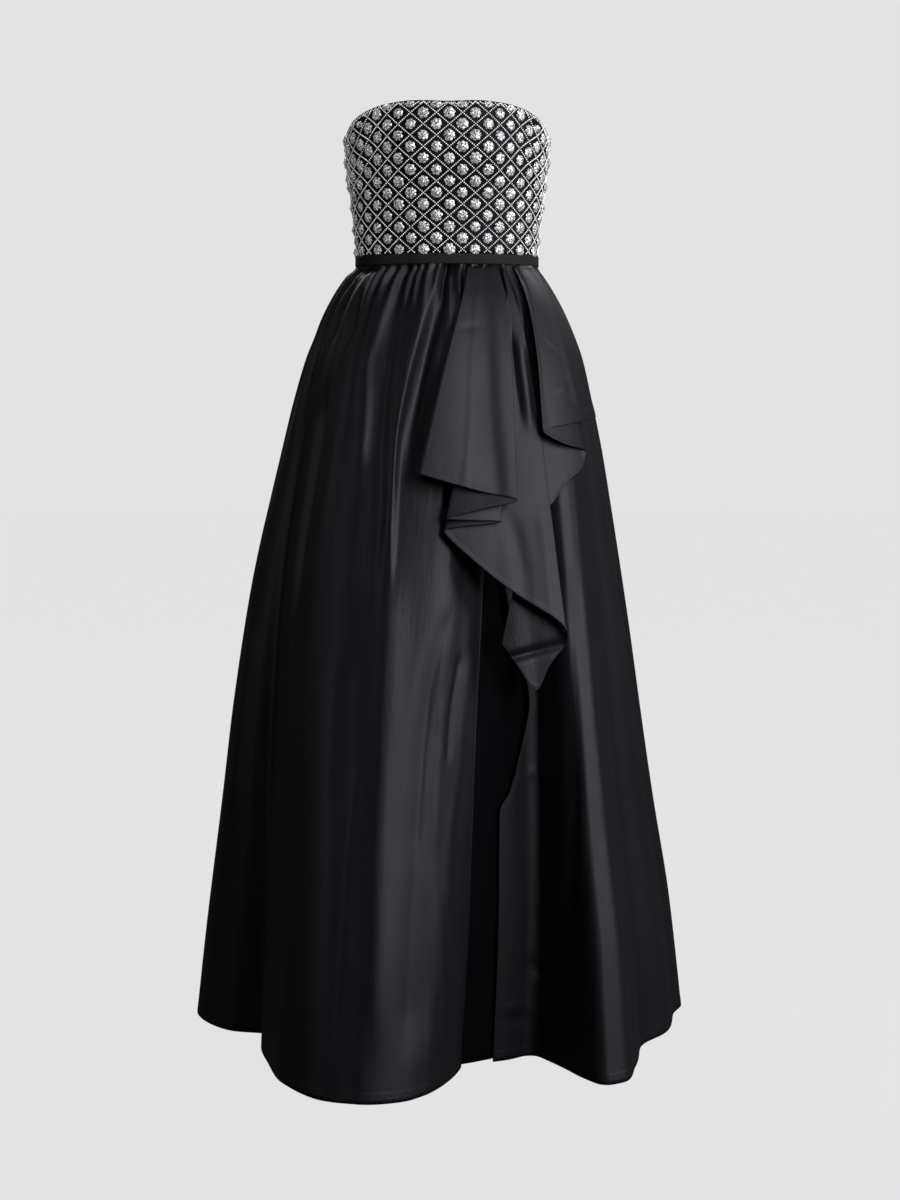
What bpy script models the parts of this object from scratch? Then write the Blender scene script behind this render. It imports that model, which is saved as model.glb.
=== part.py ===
"""A strapless floor-length gown: a boned, beaded bodice, a ribbon waistband, a gathered satin skirt
with a front slit over an underlay, and a two-part waterfall ruffle, held open as it is when worn.

Metres, +Z up. The origin is the middle of the waist opening, at half the ribbon's height.
The front faces -Y, and the wearer's left is at +X.
An azimuth is in degrees round the waist: 0 is the centre front, 90 the wearer's left side, 180 the back.
"""

import bisect
import functools
import itertools
import math

import bmesh
import bpy
import mathutils

MM = 0.001

# Driving sizes
SEAM_GAP = 0.3 * MM
BAND_HALF_HEIGHT = 7 * MM
BAND_WALL = 1.6 * MM
BAND_STANDS_OUT = 1.0 * MM
BODICE_WALL = 2.5 * MM
SKIRT_WALL = 1.5 * MM
UNDERLAY_WALL = 1.2 * MM
RUFFLE_WALL = 1.0 * MM
SKIRT_TOP = -BAND_HALF_HEIGHT - SEAM_GAP
HEM_Z = -1.095
SKIRT_DROP = SKIRT_TOP - HEM_Z
GATHERS = 44
COLUMNS_PER_GATHER = 4
NARROW_COLUMN = 0.03

# The gown's smooth outline: one row for each height.
# z, half width, depth to the front, depth to the back, centre x
OUTLINE = (
    (0.240, 0.1360, 0.1080, 0.0960, 0.0000),
    (0.212, 0.1375, 0.1110, 0.0960, 0.0000),
    (0.184, 0.1395, 0.1135, 0.0960, 0.0000),
    (0.157, 0.1410, 0.1140, 0.0955, 0.0000),
    (0.129, 0.1390, 0.1120, 0.0940, 0.0000),
    (0.102, 0.1355, 0.1080, 0.0920, 0.0000),
    (0.074, 0.1320, 0.1035, 0.0905, 0.0000),
    (0.047, 0.1290, 0.0995, 0.0890, 0.0000),
    (0.007, 0.1260, 0.0960, 0.0880, 0.0000),
    (-0.007, 0.1265, 0.0960, 0.0885, 0.0000),
    (-0.022, 0.1385, 0.1040, 0.1010, -0.0030),
    (-0.049, 0.1560, 0.1180, 0.1220, -0.0035),
    (-0.077, 0.1705, 0.1290, 0.1390, -0.0035),
    (-0.105, 0.1820, 0.1380, 0.1510, -0.0030),
    (-0.132, 0.1925, 0.1460, 0.1600, -0.0037),
    (-0.188, 0.2080, 0.1600, 0.1750, -0.0056),
    (-0.258, 0.2250, 0.1770, 0.1920, -0.0070),
    (-0.328, 0.2405, 0.1930, 0.2080, -0.0095),
    (-0.398, 0.2555, 0.2080, 0.2230, -0.0118),
    (-0.469, 0.2695, 0.2230, 0.2370, -0.0130),
    (-0.616, 0.2955, 0.2530, 0.2650, -0.0135),
    (-0.766, 0.3215, 0.2830, 0.2920, -0.0115),
    (-0.920, 0.3520, 0.3140, 0.3180, -0.0085),
    (-1.095, 0.3830, 0.3450, 0.3450, -0.0080),
)

# The top edge of the bodice: azimuth from the front, height
NECKLINE = (
    (0, 0.2065),
    (22, 0.2080),
    (40, 0.2055),
    (56, 0.1990),
    (69, 0.1890),
    (78, 0.1770),
    (90, 0.1620),
    (110, 0.1530),
    (150, 0.1500),
    (180, 0.1500),
)
CUP_AZIMUTH, CUP_Z, CUP_DEPTH = 27, 0.148, 9 * MM
CUP_WIDE, CUP_TALL = 17, 0.042

# The large folds of the skirt: one row for each turn of the cloth, all round.
# azimuth at the waist, azimuth at the hem, share of the outline that it reaches at the hem
FOLDS = (
    (-180, -180, 0.90),
    (-167, -169, 1.00),
    (-155, -156, 0.80),
    (-142, -143, 1.00),
    (-130, -133, 0.82),
    (-117, -127, 0.99),
    (-105, -122, 0.86),
    (-90, -116, 1.00),
    (-83, -109, 1.01),
    (-76, -91, 0.79),
    (-70, -87, 0.66),
    (-62, -59, 0.75),
    (-50, -41, 0.89),
    (-36, -25, 1.00),
    (-22, -18, 1.00),
    (-6, -9, 0.94),
    (11, -4, 0.85),
    (19, 3, 0.66),
    (33, 9, 0.50),
)
FOLDS_LEFT = (
    (33, 24.8, 0.46),
    (38, 33, 0.462),
    (42, 43, 0.455),
    (46, 48, 0.49),
    (49, 45.8, 0.58),
    (52, 43.5, 0.68),
    (55, 41.3, 0.79),
    (58, 40.5, 0.89),
    (61, 42.2, 0.93),
    (64, 46.2, 0.937),
    (68, 58, 0.843),
    (73, 75.7, 0.762),
    (79, 90.5, 0.847),
    (84, 105, 0.93),
    (88, 113, 1.03),
    (92, 119, 0.99),
    (105, 124, 0.84),
    (118, 130, 0.99),
    (130, 138, 0.81),
    (143, 147, 1.00),
    (156, 158, 0.80),
    (168, 170, 1.00),
    (180, 180, 0.90),
)
FOLD_GROWTH = 0.80
SWING_GROWTH = 0.75

# How deep the gathers are, from the waist seam (drop 0) to the hem (drop 1): drop, depth
GATHER_DEPTH = (
    (0.00, 4.5 * MM),
    (0.03, 8.0 * MM),
    (0.08, 9.5 * MM),
    (0.15, 8.0 * MM),
    (0.25, 5.0 * MM),
    (0.38, 2.0 * MM),
    (0.55, 0.0),
    (1.00, 0.0),
)
SKIRT_DROPS = (0, 0.018, 0.045, 0.085, 0.14, 0.21, 0.30, 0.40, 0.51, 0.63, 0.755, 0.88, 1)

# Seams of the skirt, counted in gathers from the centre back round by the wearer's right
SIDE_RIGHT, SLIT, SIDE_LEFT = 11, 26, 33

# The slit's left edge is caught back below the ruffle: height, azimuths that it is pulled back
SLIT_PULL = (
    (-0.40, 0.0),
    (-0.50, 5.0),
    (-0.60, 9.5),
    (-0.66, 7.0),
    (-0.72, 4.0),
    (-0.745, 0.6),
    (-1.09, 0.0),
)
UNDERLAY_TOP = -0.40
UNDERLAY_BEHIND, UNDERLAY_SHORTER = 6 * MM, 2 * MM
UNDERLAY_ACROSS, UNDERLAY_SHARE = 15, 0.42

# Bead lattice: half a diamond each way, and how far a rosette stands out
LATTICE_ACROSS = 17.5 * MM
LATTICE_UP = 14.95 * MM
FIRST_ROSETTES = 12.4 * MM
ROSETTE_RELIEF = 2.0 * MM
FRONT_COLUMNS, BACK_COLUMNS, LATTICE_ROWS = 12, 11, 13
ROSETTE_CLEAR = 6 * MM
CROWDED = 1.4 * MM

SEWN = SKIRT_TOP - 0.45 * MM

# The ruffle in front, from its hemmed edge to its tail: one row for each turn of the cloth.
# azimuth, height and stand-off in mm where it is sewn, then the same at its free hem
RUFFLE_FRONT = (
    (16.5, SEWN, 1.2, -7.9, -0.286, 24),
    (28.1, SEWN, 1.5, 10.2, -0.305, 32),
    (39.1, SEWN, 1.3, 26.7, -0.321, 25),
    (37.6, -0.030, 4.2, 15.9, -0.332, 17),
    (33.1, -0.036, 4.2, 2.5, -0.345, 12),
    (36.0, -0.048, 3.0, 22.5, -0.350, 7),
    (35.3, -0.052, 2.6, 2.0, -0.362, 3),
    (39.7, -0.050, 1.8, 18.9, -0.420, 1),
    (43.3, SEWN, 1.2, 40.5, -0.489, 4),
    (28.0, -0.240, -6.0, 42.8, -0.511, -6),
    (22.0, -0.400, -20.0, 33.4, -0.571, -20),
    (20.0, -0.464, -28.0, 23.4, -0.511, -30),
)

# The ruffle at the wearer's left hip, with the same columns
RUFFLE_SIDE = (
    (70.2, SEWN, 1.1, 75.4, -0.214, 8),
    (59.3, SEWN, 1.4, 53.7, -0.222, 18),
    (52.1, SEWN, 1.2, 39.7, -0.231, 24),
    (52.9, -0.028, 4.4, 49.7, -0.249, 18),
    (55.0, -0.034, 4.0, 61.6, -0.260, 11),
    (54.2, -0.042, 3.2, 60.3, -0.278, 8),
    (53.4, -0.044, 2.8, 50.1, -0.302, 8),
    (52.9, -0.044, 2.4, 42.8, -0.328, 9),
    (51.5, -0.044, 2.2, 39.6, -0.335, 10),
)
RUFFLE_ROWS = (0, 0.05, 0.13, 0.24, 0.38, 0.54, 0.70, 0.85, 1)
RUFFLE_STEPS = 4

# Closure at the centre back
ZIP_TOP, ZIP_BOTTOM = 0.146, -0.200
TAPE_WIDTH, TAPE_WALL, TAPE_CLEAR = 20 * MM, 0.9 * MM, 2.4 * MM
SLIDER_Z = 0.128
SLIDER_SIZE = (6 * MM, 1.6 * MM, 9 * MM)
ARCH_WIDTH, ARCH_WALL, ARCH_HALF_SPAN = 1.6 * MM, 1.0 * MM, 3.0 * MM
AXIS_RISE = 1.2 * MM
ARCH_RISE = 3.2 * MM
PULL_LENGTH, PULL_WIDE, PULL_WALL = 25 * MM, 6.0 * MM, 1.0 * MM
PULL_EYE_WIDE, PULL_EYE_LONG, CROSSBAR = 2.4 * MM, 4.6 * MM, 1.0 * MM

# Colours of the real cloth and metal: colour, roughness, metallic
FINISHES = {
    "satin": ((0.012, 0.012, 0.014), 0.42, 0.0),
    "beaded_cloth": ((0.20, 0.20, 0.21), 0.40, 0.3),
    "ribbon": ((0.010, 0.009, 0.010), 0.80, 0.0),
    "lining": ((0.006, 0.006, 0.008), 0.70, 0.0),
    "zip_metal": ((0.05, 0.05, 0.055), 0.35, 1.0),
}


class Curve:
    """A smooth curve through one column of a table, by its first column, that never overshoots."""

    def __init__(self, rows, column=1):
        rows = sorted(rows)
        self.xs = [row[0] for row in rows]
        self.ys = [row[column] for row in rows]
        self.steps = [b - a for a, b in zip(self.xs, self.xs[1:])]
        slopes = [(b - a) / step for a, b, step in zip(self.ys, self.ys[1:], self.steps)]
        inner = [2 * a * b / (a + b) if a * b > 0 else 0.0 for a, b in zip(slopes, slopes[1:])]
        self.tangents = [slopes[0], *inner, slopes[-1]]

    def __call__(self, x):
        x = min(max(x, self.xs[0]), self.xs[-1])
        i = min(bisect.bisect_right(self.xs, x) - 1, len(self.steps) - 1)
        step = self.steps[i]
        t = (x - self.xs[i]) / step
        start = (1 + 2 * t) * (1 - t) ** 2 * self.ys[i] + t * (1 - t) ** 2 * step * self.tangents[i]
        end = t * t * (3 - 2 * t) * self.ys[i + 1] + t * t * (t - 1) * step * self.tangents[i + 1]
        return start + end


HALF_WIDTH, FRONT_DEPTH, BACK_DEPTH, CENTRE_X = (Curve(OUTLINE, column) for column in (1, 2, 3, 4))
NECKLINE_Z = Curve(NECKLINE)
FOLD_AZIMUTH, FOLD_SHARE = Curve(FOLDS, 1), Curve(FOLDS, 2)
LEFT_AZIMUTH, LEFT_SHARE = Curve(FOLDS_LEFT, 1), Curve(FOLDS_LEFT, 2)
GATHER_DIP = Curve(GATHER_DEPTH)
PULLED_BACK = Curve(SLIT_PULL)


def reach(azimuth, z):
    """How far the smooth outline is from the gown's middle line, at that azimuth and height."""
    depth = FRONT_DEPTH(z) if abs(azimuth) < 90 else BACK_DEPTH(z)
    a = math.radians(azimuth)
    return 1 / math.hypot(math.sin(a) / HALF_WIDTH(z), math.cos(a) / depth)


def place(azimuth, z, distance):
    """The point that lies that far from the middle line."""
    a = math.radians(azimuth)
    return (CENTRE_X(z) + distance * math.sin(a), -distance * math.cos(a), z)


def on_outline(azimuth, z, out=0.0):
    return place(azimuth, z, reach(azimuth, z) + out)


def gather_azimuth(gather):
    """Azimuth at the waist of a place counted in gathers, which are of uneven width."""
    side = gather / GATHERS * 2 * math.pi
    return gather * 360 / GATHERS - 180 + 1.5 * math.sin(4 * side) * math.sin(9 * side)


def gather_depth(gather, drop):
    """How far the cloth dips behind the outline between two crests of the gathers."""
    number = math.floor(gather + 0.5) % GATHERS
    uneven = 0.78 + 0.22 * math.sin(number * 2.4)
    length = 0.80 + 0.35 * math.sin(number * 1.7 + 1)
    depth = GATHER_DIP(drop / length) * (uneven if drop > 0 else 1)
    return depth * (1 + math.cos(2 * math.pi * gather)) / 2


def skirt_point(azimuth, z, dip=0.0, left_of_slit=False):
    drop = (SKIRT_TOP - z) / SKIRT_DROP
    hem_azimuth = (LEFT_AZIMUTH if left_of_slit else FOLD_AZIMUTH)(azimuth)
    hem_share = (LEFT_SHARE if left_of_slit else FOLD_SHARE)(azimuth)
    swung = azimuth + (hem_azimuth - azimuth) * drop**SWING_GROWTH
    share = 1 - (1 - hem_share) * drop**FOLD_GROWTH
    return place(swung, z, reach(swung, z) * share - dip)


def bodice_reach(azimuth, z):
    """The bodice's distance from the middle line, with its two cups."""
    off_cup = (abs(azimuth) - CUP_AZIMUTH) / CUP_WIDE
    height = (z - CUP_Z) / CUP_TALL
    return reach(azimuth, z) + CUP_DEPTH * math.exp(-(off_cup**2) - height**2)


@functools.lru_cache(None)
def girth(z, from_back):
    """Distances along the cloth from the centre front or back to the side, and their azimuths."""
    azimuths = [180 - a if from_back else a for a in range(91)]
    points = [place(a, z, bodice_reach(a, z)) for a in azimuths]
    steps = [math.dist(a, b) for a, b in zip(points, points[1:])]
    return list(itertools.accumulate(steps, initial=0.0)), azimuths


def azimuth_along(length, z, from_back):
    lengths, azimuths = girth(z, from_back)
    i = min(bisect.bisect_right(lengths, length) - 1, len(lengths) - 2)
    share = (length - lengths[i]) / (lengths[i + 1] - lengths[i])
    return azimuths[i] + (azimuths[i + 1] - azimuths[i]) * share


def clear_scene():
    for old in list(bpy.data.objects):
        bpy.data.objects.remove(old, do_unlink=True)


def finish(name):
    colour, roughness, metallic = FINISHES[name]
    material = bpy.data.materials.new(name)
    material.use_nodes = True
    shader = material.node_tree.nodes["Principled BSDF"]
    shader.inputs["Base Color"].default_value = (*colour, 1)
    shader.inputs["Roughness"].default_value = roughness
    shader.inputs["Metallic"].default_value = metallic
    return material


def add_object(name, bm, material, collection):
    mesh = bpy.data.meshes.new(name)
    bm.to_mesh(mesh)
    bm.free()
    mesh.shade_smooth()
    mesh.materials.append(material)
    obj = bpy.data.objects.new(name, mesh)
    collection.objects.link(obj)
    return obj


def grid_sheet(name, columns, rows, point_of, material, collection):
    """An open sheet of cloth: a grid whose points are put where point_of(column, row) says.
    Columns run along +X and rows down the cloth, so its faces point out of the gown."""
    bm = bmesh.new()
    bmesh.ops.create_grid(bm, x_segments=columns, y_segments=rows, size=0.5)
    for vert in bm.verts:
        column = round((vert.co.x + 0.5) * columns)
        row = round((0.5 - vert.co.y) * rows)
        vert.co = point_of(column, row)
    return add_object(name, bm, material, collection)


def walled(obj, thickness, offset=-1):
    """Gives a sheet its wall: offset -1 puts it inside the sheet, 0 half on each side."""
    solid = obj.modifiers.new("wall", "SOLIDIFY")
    solid.thickness = thickness
    solid.offset = offset
    solid.use_even_offset = offset < 0
    return obj


def evaluated_mesh(obj):
    bpy.context.view_layer.update()
    graph = bpy.context.evaluated_depsgraph_get()
    mesh = bpy.data.meshes.new_from_object(obj.evaluated_get(graph))
    obj.modifiers.clear()
    obj.data = mesh
    return mesh


def skirt_panel(name, first, last, material, collection):
    """A panel of the skirt between two seams, counted in gathers. Each seam is a valley."""
    places = [first + step / COLUMNS_PER_GATHER for step in range((last - first) * COLUMNS_PER_GATHER + 1)]
    places[1:1] = [first + NARROW_COLUMN]
    places[-1:-1] = [last - NARROW_COLUMN]
    left_of_slit = first >= SLIT

    def point_of(column, row):
        gather = places[column]
        drop = SKIRT_DROPS[row]
        z = SKIRT_TOP - drop * SKIRT_DROP
        azimuth = gather_azimuth(gather)
        if first == SLIT:
            pulled = gather_azimuth(SLIT) + PULLED_BACK(z) + 0.35 * column
            azimuth = max(azimuth, pulled)
        seam_angle = math.degrees(SEAM_GAP / 2 / reach(azimuth, z))
        azimuth += seam_angle if gather == first else 0
        azimuth -= seam_angle if gather == last else 0
        return skirt_point(azimuth, z, gather_depth(gather, drop), left_of_slit)

    sheet = grid_sheet(name, len(places) - 1, len(SKIRT_DROPS) - 1, point_of, material, collection)
    return walled(sheet, SKIRT_WALL)


def slit_underlay(material, collection):
    """The black lining panel behind the slit, from the right panel's edge to behind the left one."""
    columns, rows = 6, 9
    edge = gather_azimuth(SLIT)

    def point_of(column, row):
        z = UNDERLAY_TOP + (HEM_Z + UNDERLAY_SHORTER - UNDERLAY_TOP) * row / rows
        across = column / columns
        drop = (SKIRT_TOP - z) / SKIRT_DROP
        start = edge + (FOLD_AZIMUTH(edge) - edge) * drop**SWING_GROWTH
        end = edge + UNDERLAY_ACROSS + (LEFT_AZIMUTH(edge + UNDERLAY_ACROSS) - edge - UNDERLAY_ACROSS) * drop**SWING_GROWTH
        start_share = 1 - (1 - FOLD_SHARE(edge)) * drop**FOLD_GROWTH
        end_share = 1 - (1 - UNDERLAY_SHARE) * drop**FOLD_GROWTH
        azimuth = start + (end - start) * across
        share = start_share + (end_share - start_share) * across
        behind = UNDERLAY_BEHIND * (0.4 + 0.6 * min(1, across * 3))
        return place(azimuth, z, reach(azimuth, z) * share - SKIRT_WALL - behind)

    return walled(grid_sheet("slit_underlay", columns, rows, point_of, material, collection), UNDERLAY_WALL)


def ruffle(name, turns, material, collection):
    """A waterfall ruffle: straight lines from the sewn edge to the free hem, which folds to and fro."""
    columns = (len(turns) - 1) * RUFFLE_STEPS
    numbered = [(number, *turn) for number, turn in enumerate(turns)]
    curves = [Curve(numbered, column) for column in range(1, 7)]

    def point_of(column, row):
        sewn = [curve(column / RUFFLE_STEPS) for curve in curves[:3]]
        hem = [curve(column / RUFFLE_STEPS) for curve in curves[3:]]
        down = RUFFLE_ROWS[row]
        start, end = on_outline(sewn[0], sewn[1], sewn[2] * MM), on_outline(hem[0], hem[1], hem[2] * MM)
        x, y, z = (a + (b - a) * down for a, b in zip(start, end))
        azimuth = math.degrees(math.atan2(x - CENTRE_X(z), -y))
        out = sewn[2] + (hem[2] - sewn[2]) * down**0.7
        return on_outline(azimuth, z, out * MM)

    sheet = grid_sheet(name, columns, len(RUFFLE_ROWS) - 1, point_of, material, collection)
    return walled(sheet, RUFFLE_WALL, 0)


def bodice_piece(name, material, collection, side=0):
    """A bodice panel on the bead lattice. Side 0 is the front, -1 and 1 the two halves of the back."""
    from_back = side != 0
    half = (BACK_COLUMNS if from_back else FRONT_COLUMNS) + 1
    columns = half if from_back else 2 * half
    rows = LATTICE_ROWS + 1
    raised = []

    def point_of(column, row):
        across = column if side < 0 else (half - column if side > 0 else column - half)
        steps = abs(across)
        line = rows - 1 - row
        along = steps * LATTICE_ACROSS
        up = FIRST_ROSETTES + line * LATTICE_UP
        bust_side = girth(CUP_Z, from_back)[0][-1]
        top = NECKLINE_Z(abs(azimuth_along(min(along, bust_side), CUP_Z, from_back)))
        z = top if line == LATTICE_ROWS else min(up, top - (LATTICE_ROWS - line) * CROWDED)
        z = BAND_HALF_HEIGHT + SEAM_GAP if line < 0 else z
        to_side = girth(z, from_back)[0][-1]
        length = to_side - SEAM_GAP / 2 if steps == half else min(along, to_side - (half - steps) * CROWDED)
        length = SEAM_GAP / 2 if from_back and steps == 0 else length
        azimuth = azimuth_along(length, z, from_back)
        azimuth *= -1 if side < 0 or across < 0 else 1
        whole = along < to_side - ROSETTE_CLEAR and up < top - ROSETTE_CLEAR and line >= 0
        if whole and (across + line) % 2 == 0 and not (from_back and steps == 0):
            raised.append(row * (columns + 1) + column)
        return place(azimuth, z, bodice_reach(azimuth, z))

    sheet = walled(grid_sheet(name, columns, rows, point_of, material, collection), BODICE_WALL)
    mesh = evaluated_mesh(sheet)
    for number in raised:
        column, row = number % (columns + 1), number // (columns + 1)
        vert = mesh.vertices[(rows - row) * (columns + 1) + column]
        outward = mathutils.Vector((vert.co.x, vert.co.y, 0)).normalized()
        vert.co += outward * ROSETTE_RELIEF
    mesh.shade_smooth()
    return sheet


def waistband(material, collection):
    """The ribbon over the waist seam, open at the centre back where the zip runs."""
    columns = 56

    def point_of(column, row):
        azimuth = -180 + 360 * column / columns
        edge = math.degrees(SEAM_GAP / 2 / reach(180, 0))
        azimuth = min(max(azimuth, -180 + edge), 180 - edge)
        z = BAND_HALF_HEIGHT * (1 - row)
        return place(azimuth, z, reach(azimuth, 0) + BAND_STANDS_OUT)

    return walled(grid_sheet("waistband", columns, 2, point_of, material, collection), BAND_WALL)


def back_inside(z):
    """How far back the inside of the gown is at the centre back, at its nearest to the wearer."""
    if z > SKIRT_TOP:
        wall = BODICE_WALL
        return min(reach(180, z), reach(180, BAND_HALF_HEIGHT) + abs(z) * 0.02) - wall
    drop = (SKIRT_TOP - z) / SKIRT_DROP
    x, y, _ = skirt_point(180, z, gather_depth(0, drop), True)
    return y - SKIRT_WALL


def zip_tape(material, collection):
    rows, columns = 14, 2

    def point_of(column, row):
        z = ZIP_TOP + (ZIP_BOTTOM - ZIP_TOP) * row / rows
        x = TAPE_WIDTH * (0.5 - column / columns)
        around = [back_inside(z + step * MM) for step in (-14, -7, 0, 7, 14)]
        return (x, min(around) - TAPE_CLEAR, z)

    return walled(grid_sheet("zip_tape", columns, rows, point_of, material, collection), TAPE_WALL)


def add_block(bm, low, high):
    """A box between two corners."""
    made = bmesh.ops.create_cube(bm, size=1)
    middle = [(a + b) / 2 for a, b in zip(low, high)]
    size = [b - a for a, b in zip(low, high)]
    for vert in made["verts"]:
        vert.co = [m + c * s for m, c, s in zip(middle, vert.co, size)]


def joined_blocks(name, blocks, material, collection):
    """One solid from boxes that overlap, joined by Booleans, with softened edges."""
    cutters = bpy.data.collections["helpers"]
    objects = []
    for number, (low, high) in enumerate(blocks):
        bm = bmesh.new()
        add_block(bm, low, high)
        home = cutters if number else collection
        objects.append(add_object(name if not number else f"{name}_block_{number}", bm, material, home))
    first = objects[0]
    for other in objects[1:]:
        other.hide_render = True
        other.display_type = "WIRE"
        union = first.modifiers.new("join", "BOOLEAN")
        union.operation = "UNION"
        union.object = other
    return first


def zip_slider(material, collection):
    """The slider's body and the arch that holds the pull."""
    wide, deep, tall = SLIDER_SIZE
    inner = slider_back_y()
    face = inner + deep
    top = face + ARCH_RISE
    half = ARCH_WIDTH / 2
    foot = ARCH_HALF_SPAN + ARCH_WALL
    sunk = 0.5 * MM
    blocks = (
        ((-wide / 2, inner, SLIDER_Z - tall / 2), (wide / 2, face, SLIDER_Z + tall / 2)),
        ((-half, face - sunk, SLIDER_Z + ARCH_HALF_SPAN), (half, top, SLIDER_Z + foot)),
        ((-half, face - sunk, SLIDER_Z - foot), (half, top, SLIDER_Z - ARCH_HALF_SPAN)),
        ((-half, top - ARCH_WALL, SLIDER_Z - foot + sunk / 2), (half, top - sunk / 8, SLIDER_Z + foot - sunk / 2)),
    )
    return joined_blocks("zip_slider", blocks, material, collection)


def slider_back_y():
    """The slider's inner face, just clear of the bodice's back."""
    top, bottom = SLIDER_Z + SLIDER_SIZE[2] / 2, SLIDER_Z - SLIDER_SIZE[2] / 2
    return max(bodice_reach(180, top), bodice_reach(180, bottom)) + SEAM_GAP


def pull_axis_y():
    return slider_back_y() + SLIDER_SIZE[1] + AXIS_RISE


def zip_pull(material, collection):
    """The pull: a flat drop with an eye at its top, whose crossbar turns under the slider's arch."""
    y = pull_axis_y()
    bm = bmesh.new()
    half = PULL_WALL / 2
    outline = bmesh.ops.create_circle(bm, cap_ends=True, segments=20, radius=1)["verts"]
    for vert in outline:
        angle = math.atan2(vert.co.y, vert.co.x)
        along = (1 - math.sin(angle)) / 2
        rounding = math.copysign(abs(math.cos(angle)) ** 0.35, math.cos(angle))
        width = PULL_WIDE * (0.42 + 0.08 * along) * rounding
        vert.co = (width, -half, CROSSBAR / 2 - along * PULL_LENGTH)
    made = bmesh.ops.extrude_face_region(bm, geom=bm.faces[:])
    for vert in [item for item in made["geom"] if isinstance(item, bmesh.types.BMVert)]:
        vert.co.y = half
    bmesh.ops.recalc_face_normals(bm, faces=bm.faces[:])
    pull = add_object("zip_pull", bm, material, collection)
    pull.location = (0, y, SLIDER_Z)
    eye = bmesh.new()
    add_block(
        eye,
        (-PULL_EYE_WIDE / 2, y - 3 * half, SLIDER_Z - CROSSBAR / 2 - PULL_EYE_LONG),
        (PULL_EYE_WIDE / 2, y + 3 * half, SLIDER_Z - CROSSBAR / 2),
    )
    cutter = add_object("zip_pull_eye", eye, material, bpy.data.collections["helpers"])
    cutter.hide_render = True
    cutter.display_type = "WIRE"
    cut = pull.modifiers.new("eye", "BOOLEAN")
    cut.operation = "DIFFERENCE"
    cut.object = cutter
    return pull


def build():
    clear_scene()
    gown = bpy.data.collections.new("gown")
    helpers = bpy.data.collections.new("helpers")
    for collection in (gown, helpers):
        bpy.context.scene.collection.children.link(collection)
    finishes = {name: finish(name) for name in FINISHES}
    satin = finishes["satin"]
    bodice_piece("bodice_front", finishes["beaded_cloth"], gown)
    bodice_piece("bodice_back_right", finishes["beaded_cloth"], gown, -1)
    bodice_piece("bodice_back_left", finishes["beaded_cloth"], gown, 1)
    waistband(finishes["ribbon"], gown)
    skirt_panel("skirt_back_right", 0, SIDE_RIGHT, satin, gown)
    skirt_panel("skirt_front_right", SIDE_RIGHT, SLIT, satin, gown)
    skirt_panel("skirt_front_left", SLIT, SIDE_LEFT, satin, gown)
    skirt_panel("skirt_back_left", SIDE_LEFT, GATHERS, satin, gown)
    slit_underlay(finishes["lining"], gown)
    ruffle("ruffle_front", RUFFLE_FRONT, satin, gown)
    ruffle("ruffle_side", RUFFLE_SIDE, satin, gown)
    zip_tape(finishes["lining"], gown)
    zip_slider(finishes["zip_metal"], gown)
    zip_pull(finishes["zip_metal"], gown)


build()
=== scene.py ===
"""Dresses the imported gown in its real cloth: black satin, bead lattice, sequin rosettes and ribbon.

The frame is the CAD's: metres, +Z up, the front towards -Y, the origin in the middle of the waist.
An azimuth is in degrees round the waist: 0 is the centre front, 90 the wearer's left side, 180 the back.
"""

import math

import bmesh
import bpy
import numpy as np
from mathutils import Matrix, Vector


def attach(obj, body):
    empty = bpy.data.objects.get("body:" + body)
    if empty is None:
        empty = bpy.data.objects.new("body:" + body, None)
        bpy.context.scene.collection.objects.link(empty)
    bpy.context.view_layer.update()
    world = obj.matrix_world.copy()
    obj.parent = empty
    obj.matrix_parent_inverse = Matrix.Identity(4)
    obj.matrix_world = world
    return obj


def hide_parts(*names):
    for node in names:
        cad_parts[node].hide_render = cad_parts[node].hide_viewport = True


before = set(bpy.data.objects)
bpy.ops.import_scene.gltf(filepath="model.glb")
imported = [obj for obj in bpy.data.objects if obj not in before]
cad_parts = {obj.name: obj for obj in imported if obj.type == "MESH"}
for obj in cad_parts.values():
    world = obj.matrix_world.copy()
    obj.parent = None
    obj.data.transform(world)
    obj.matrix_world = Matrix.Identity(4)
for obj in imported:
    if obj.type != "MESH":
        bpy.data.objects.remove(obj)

bl_info = {
    "name": "Evening Gown",
    "version": (1, 0, 0),
    "blender": (4, 5, 0),
    "location": "3D View > Sidebar > Gown",
    "description": "Makes a strapless beaded gown with a gathered satin skirt and a waterfall ruffle",
    "category": "Add Mesh",
}

MM = 0.001

# The gown's main sizes, as in the part. The cloth's seams are stitched closer than the solids lie
SEAM_GAP = 0.3 * MM
STITCHED_GAP = 0.05 * MM
BAND_HALF_HEIGHT = 7 * MM
SKIRT_TOP = -BAND_HALF_HEIGHT - SEAM_GAP
HEM_Z = -1.095
SKIRT_DROP = SKIRT_TOP - HEM_Z
GATHERS = 44
SIDE_RIGHT, SLIT, SIDE_LEFT = 11, 26, 33

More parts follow.
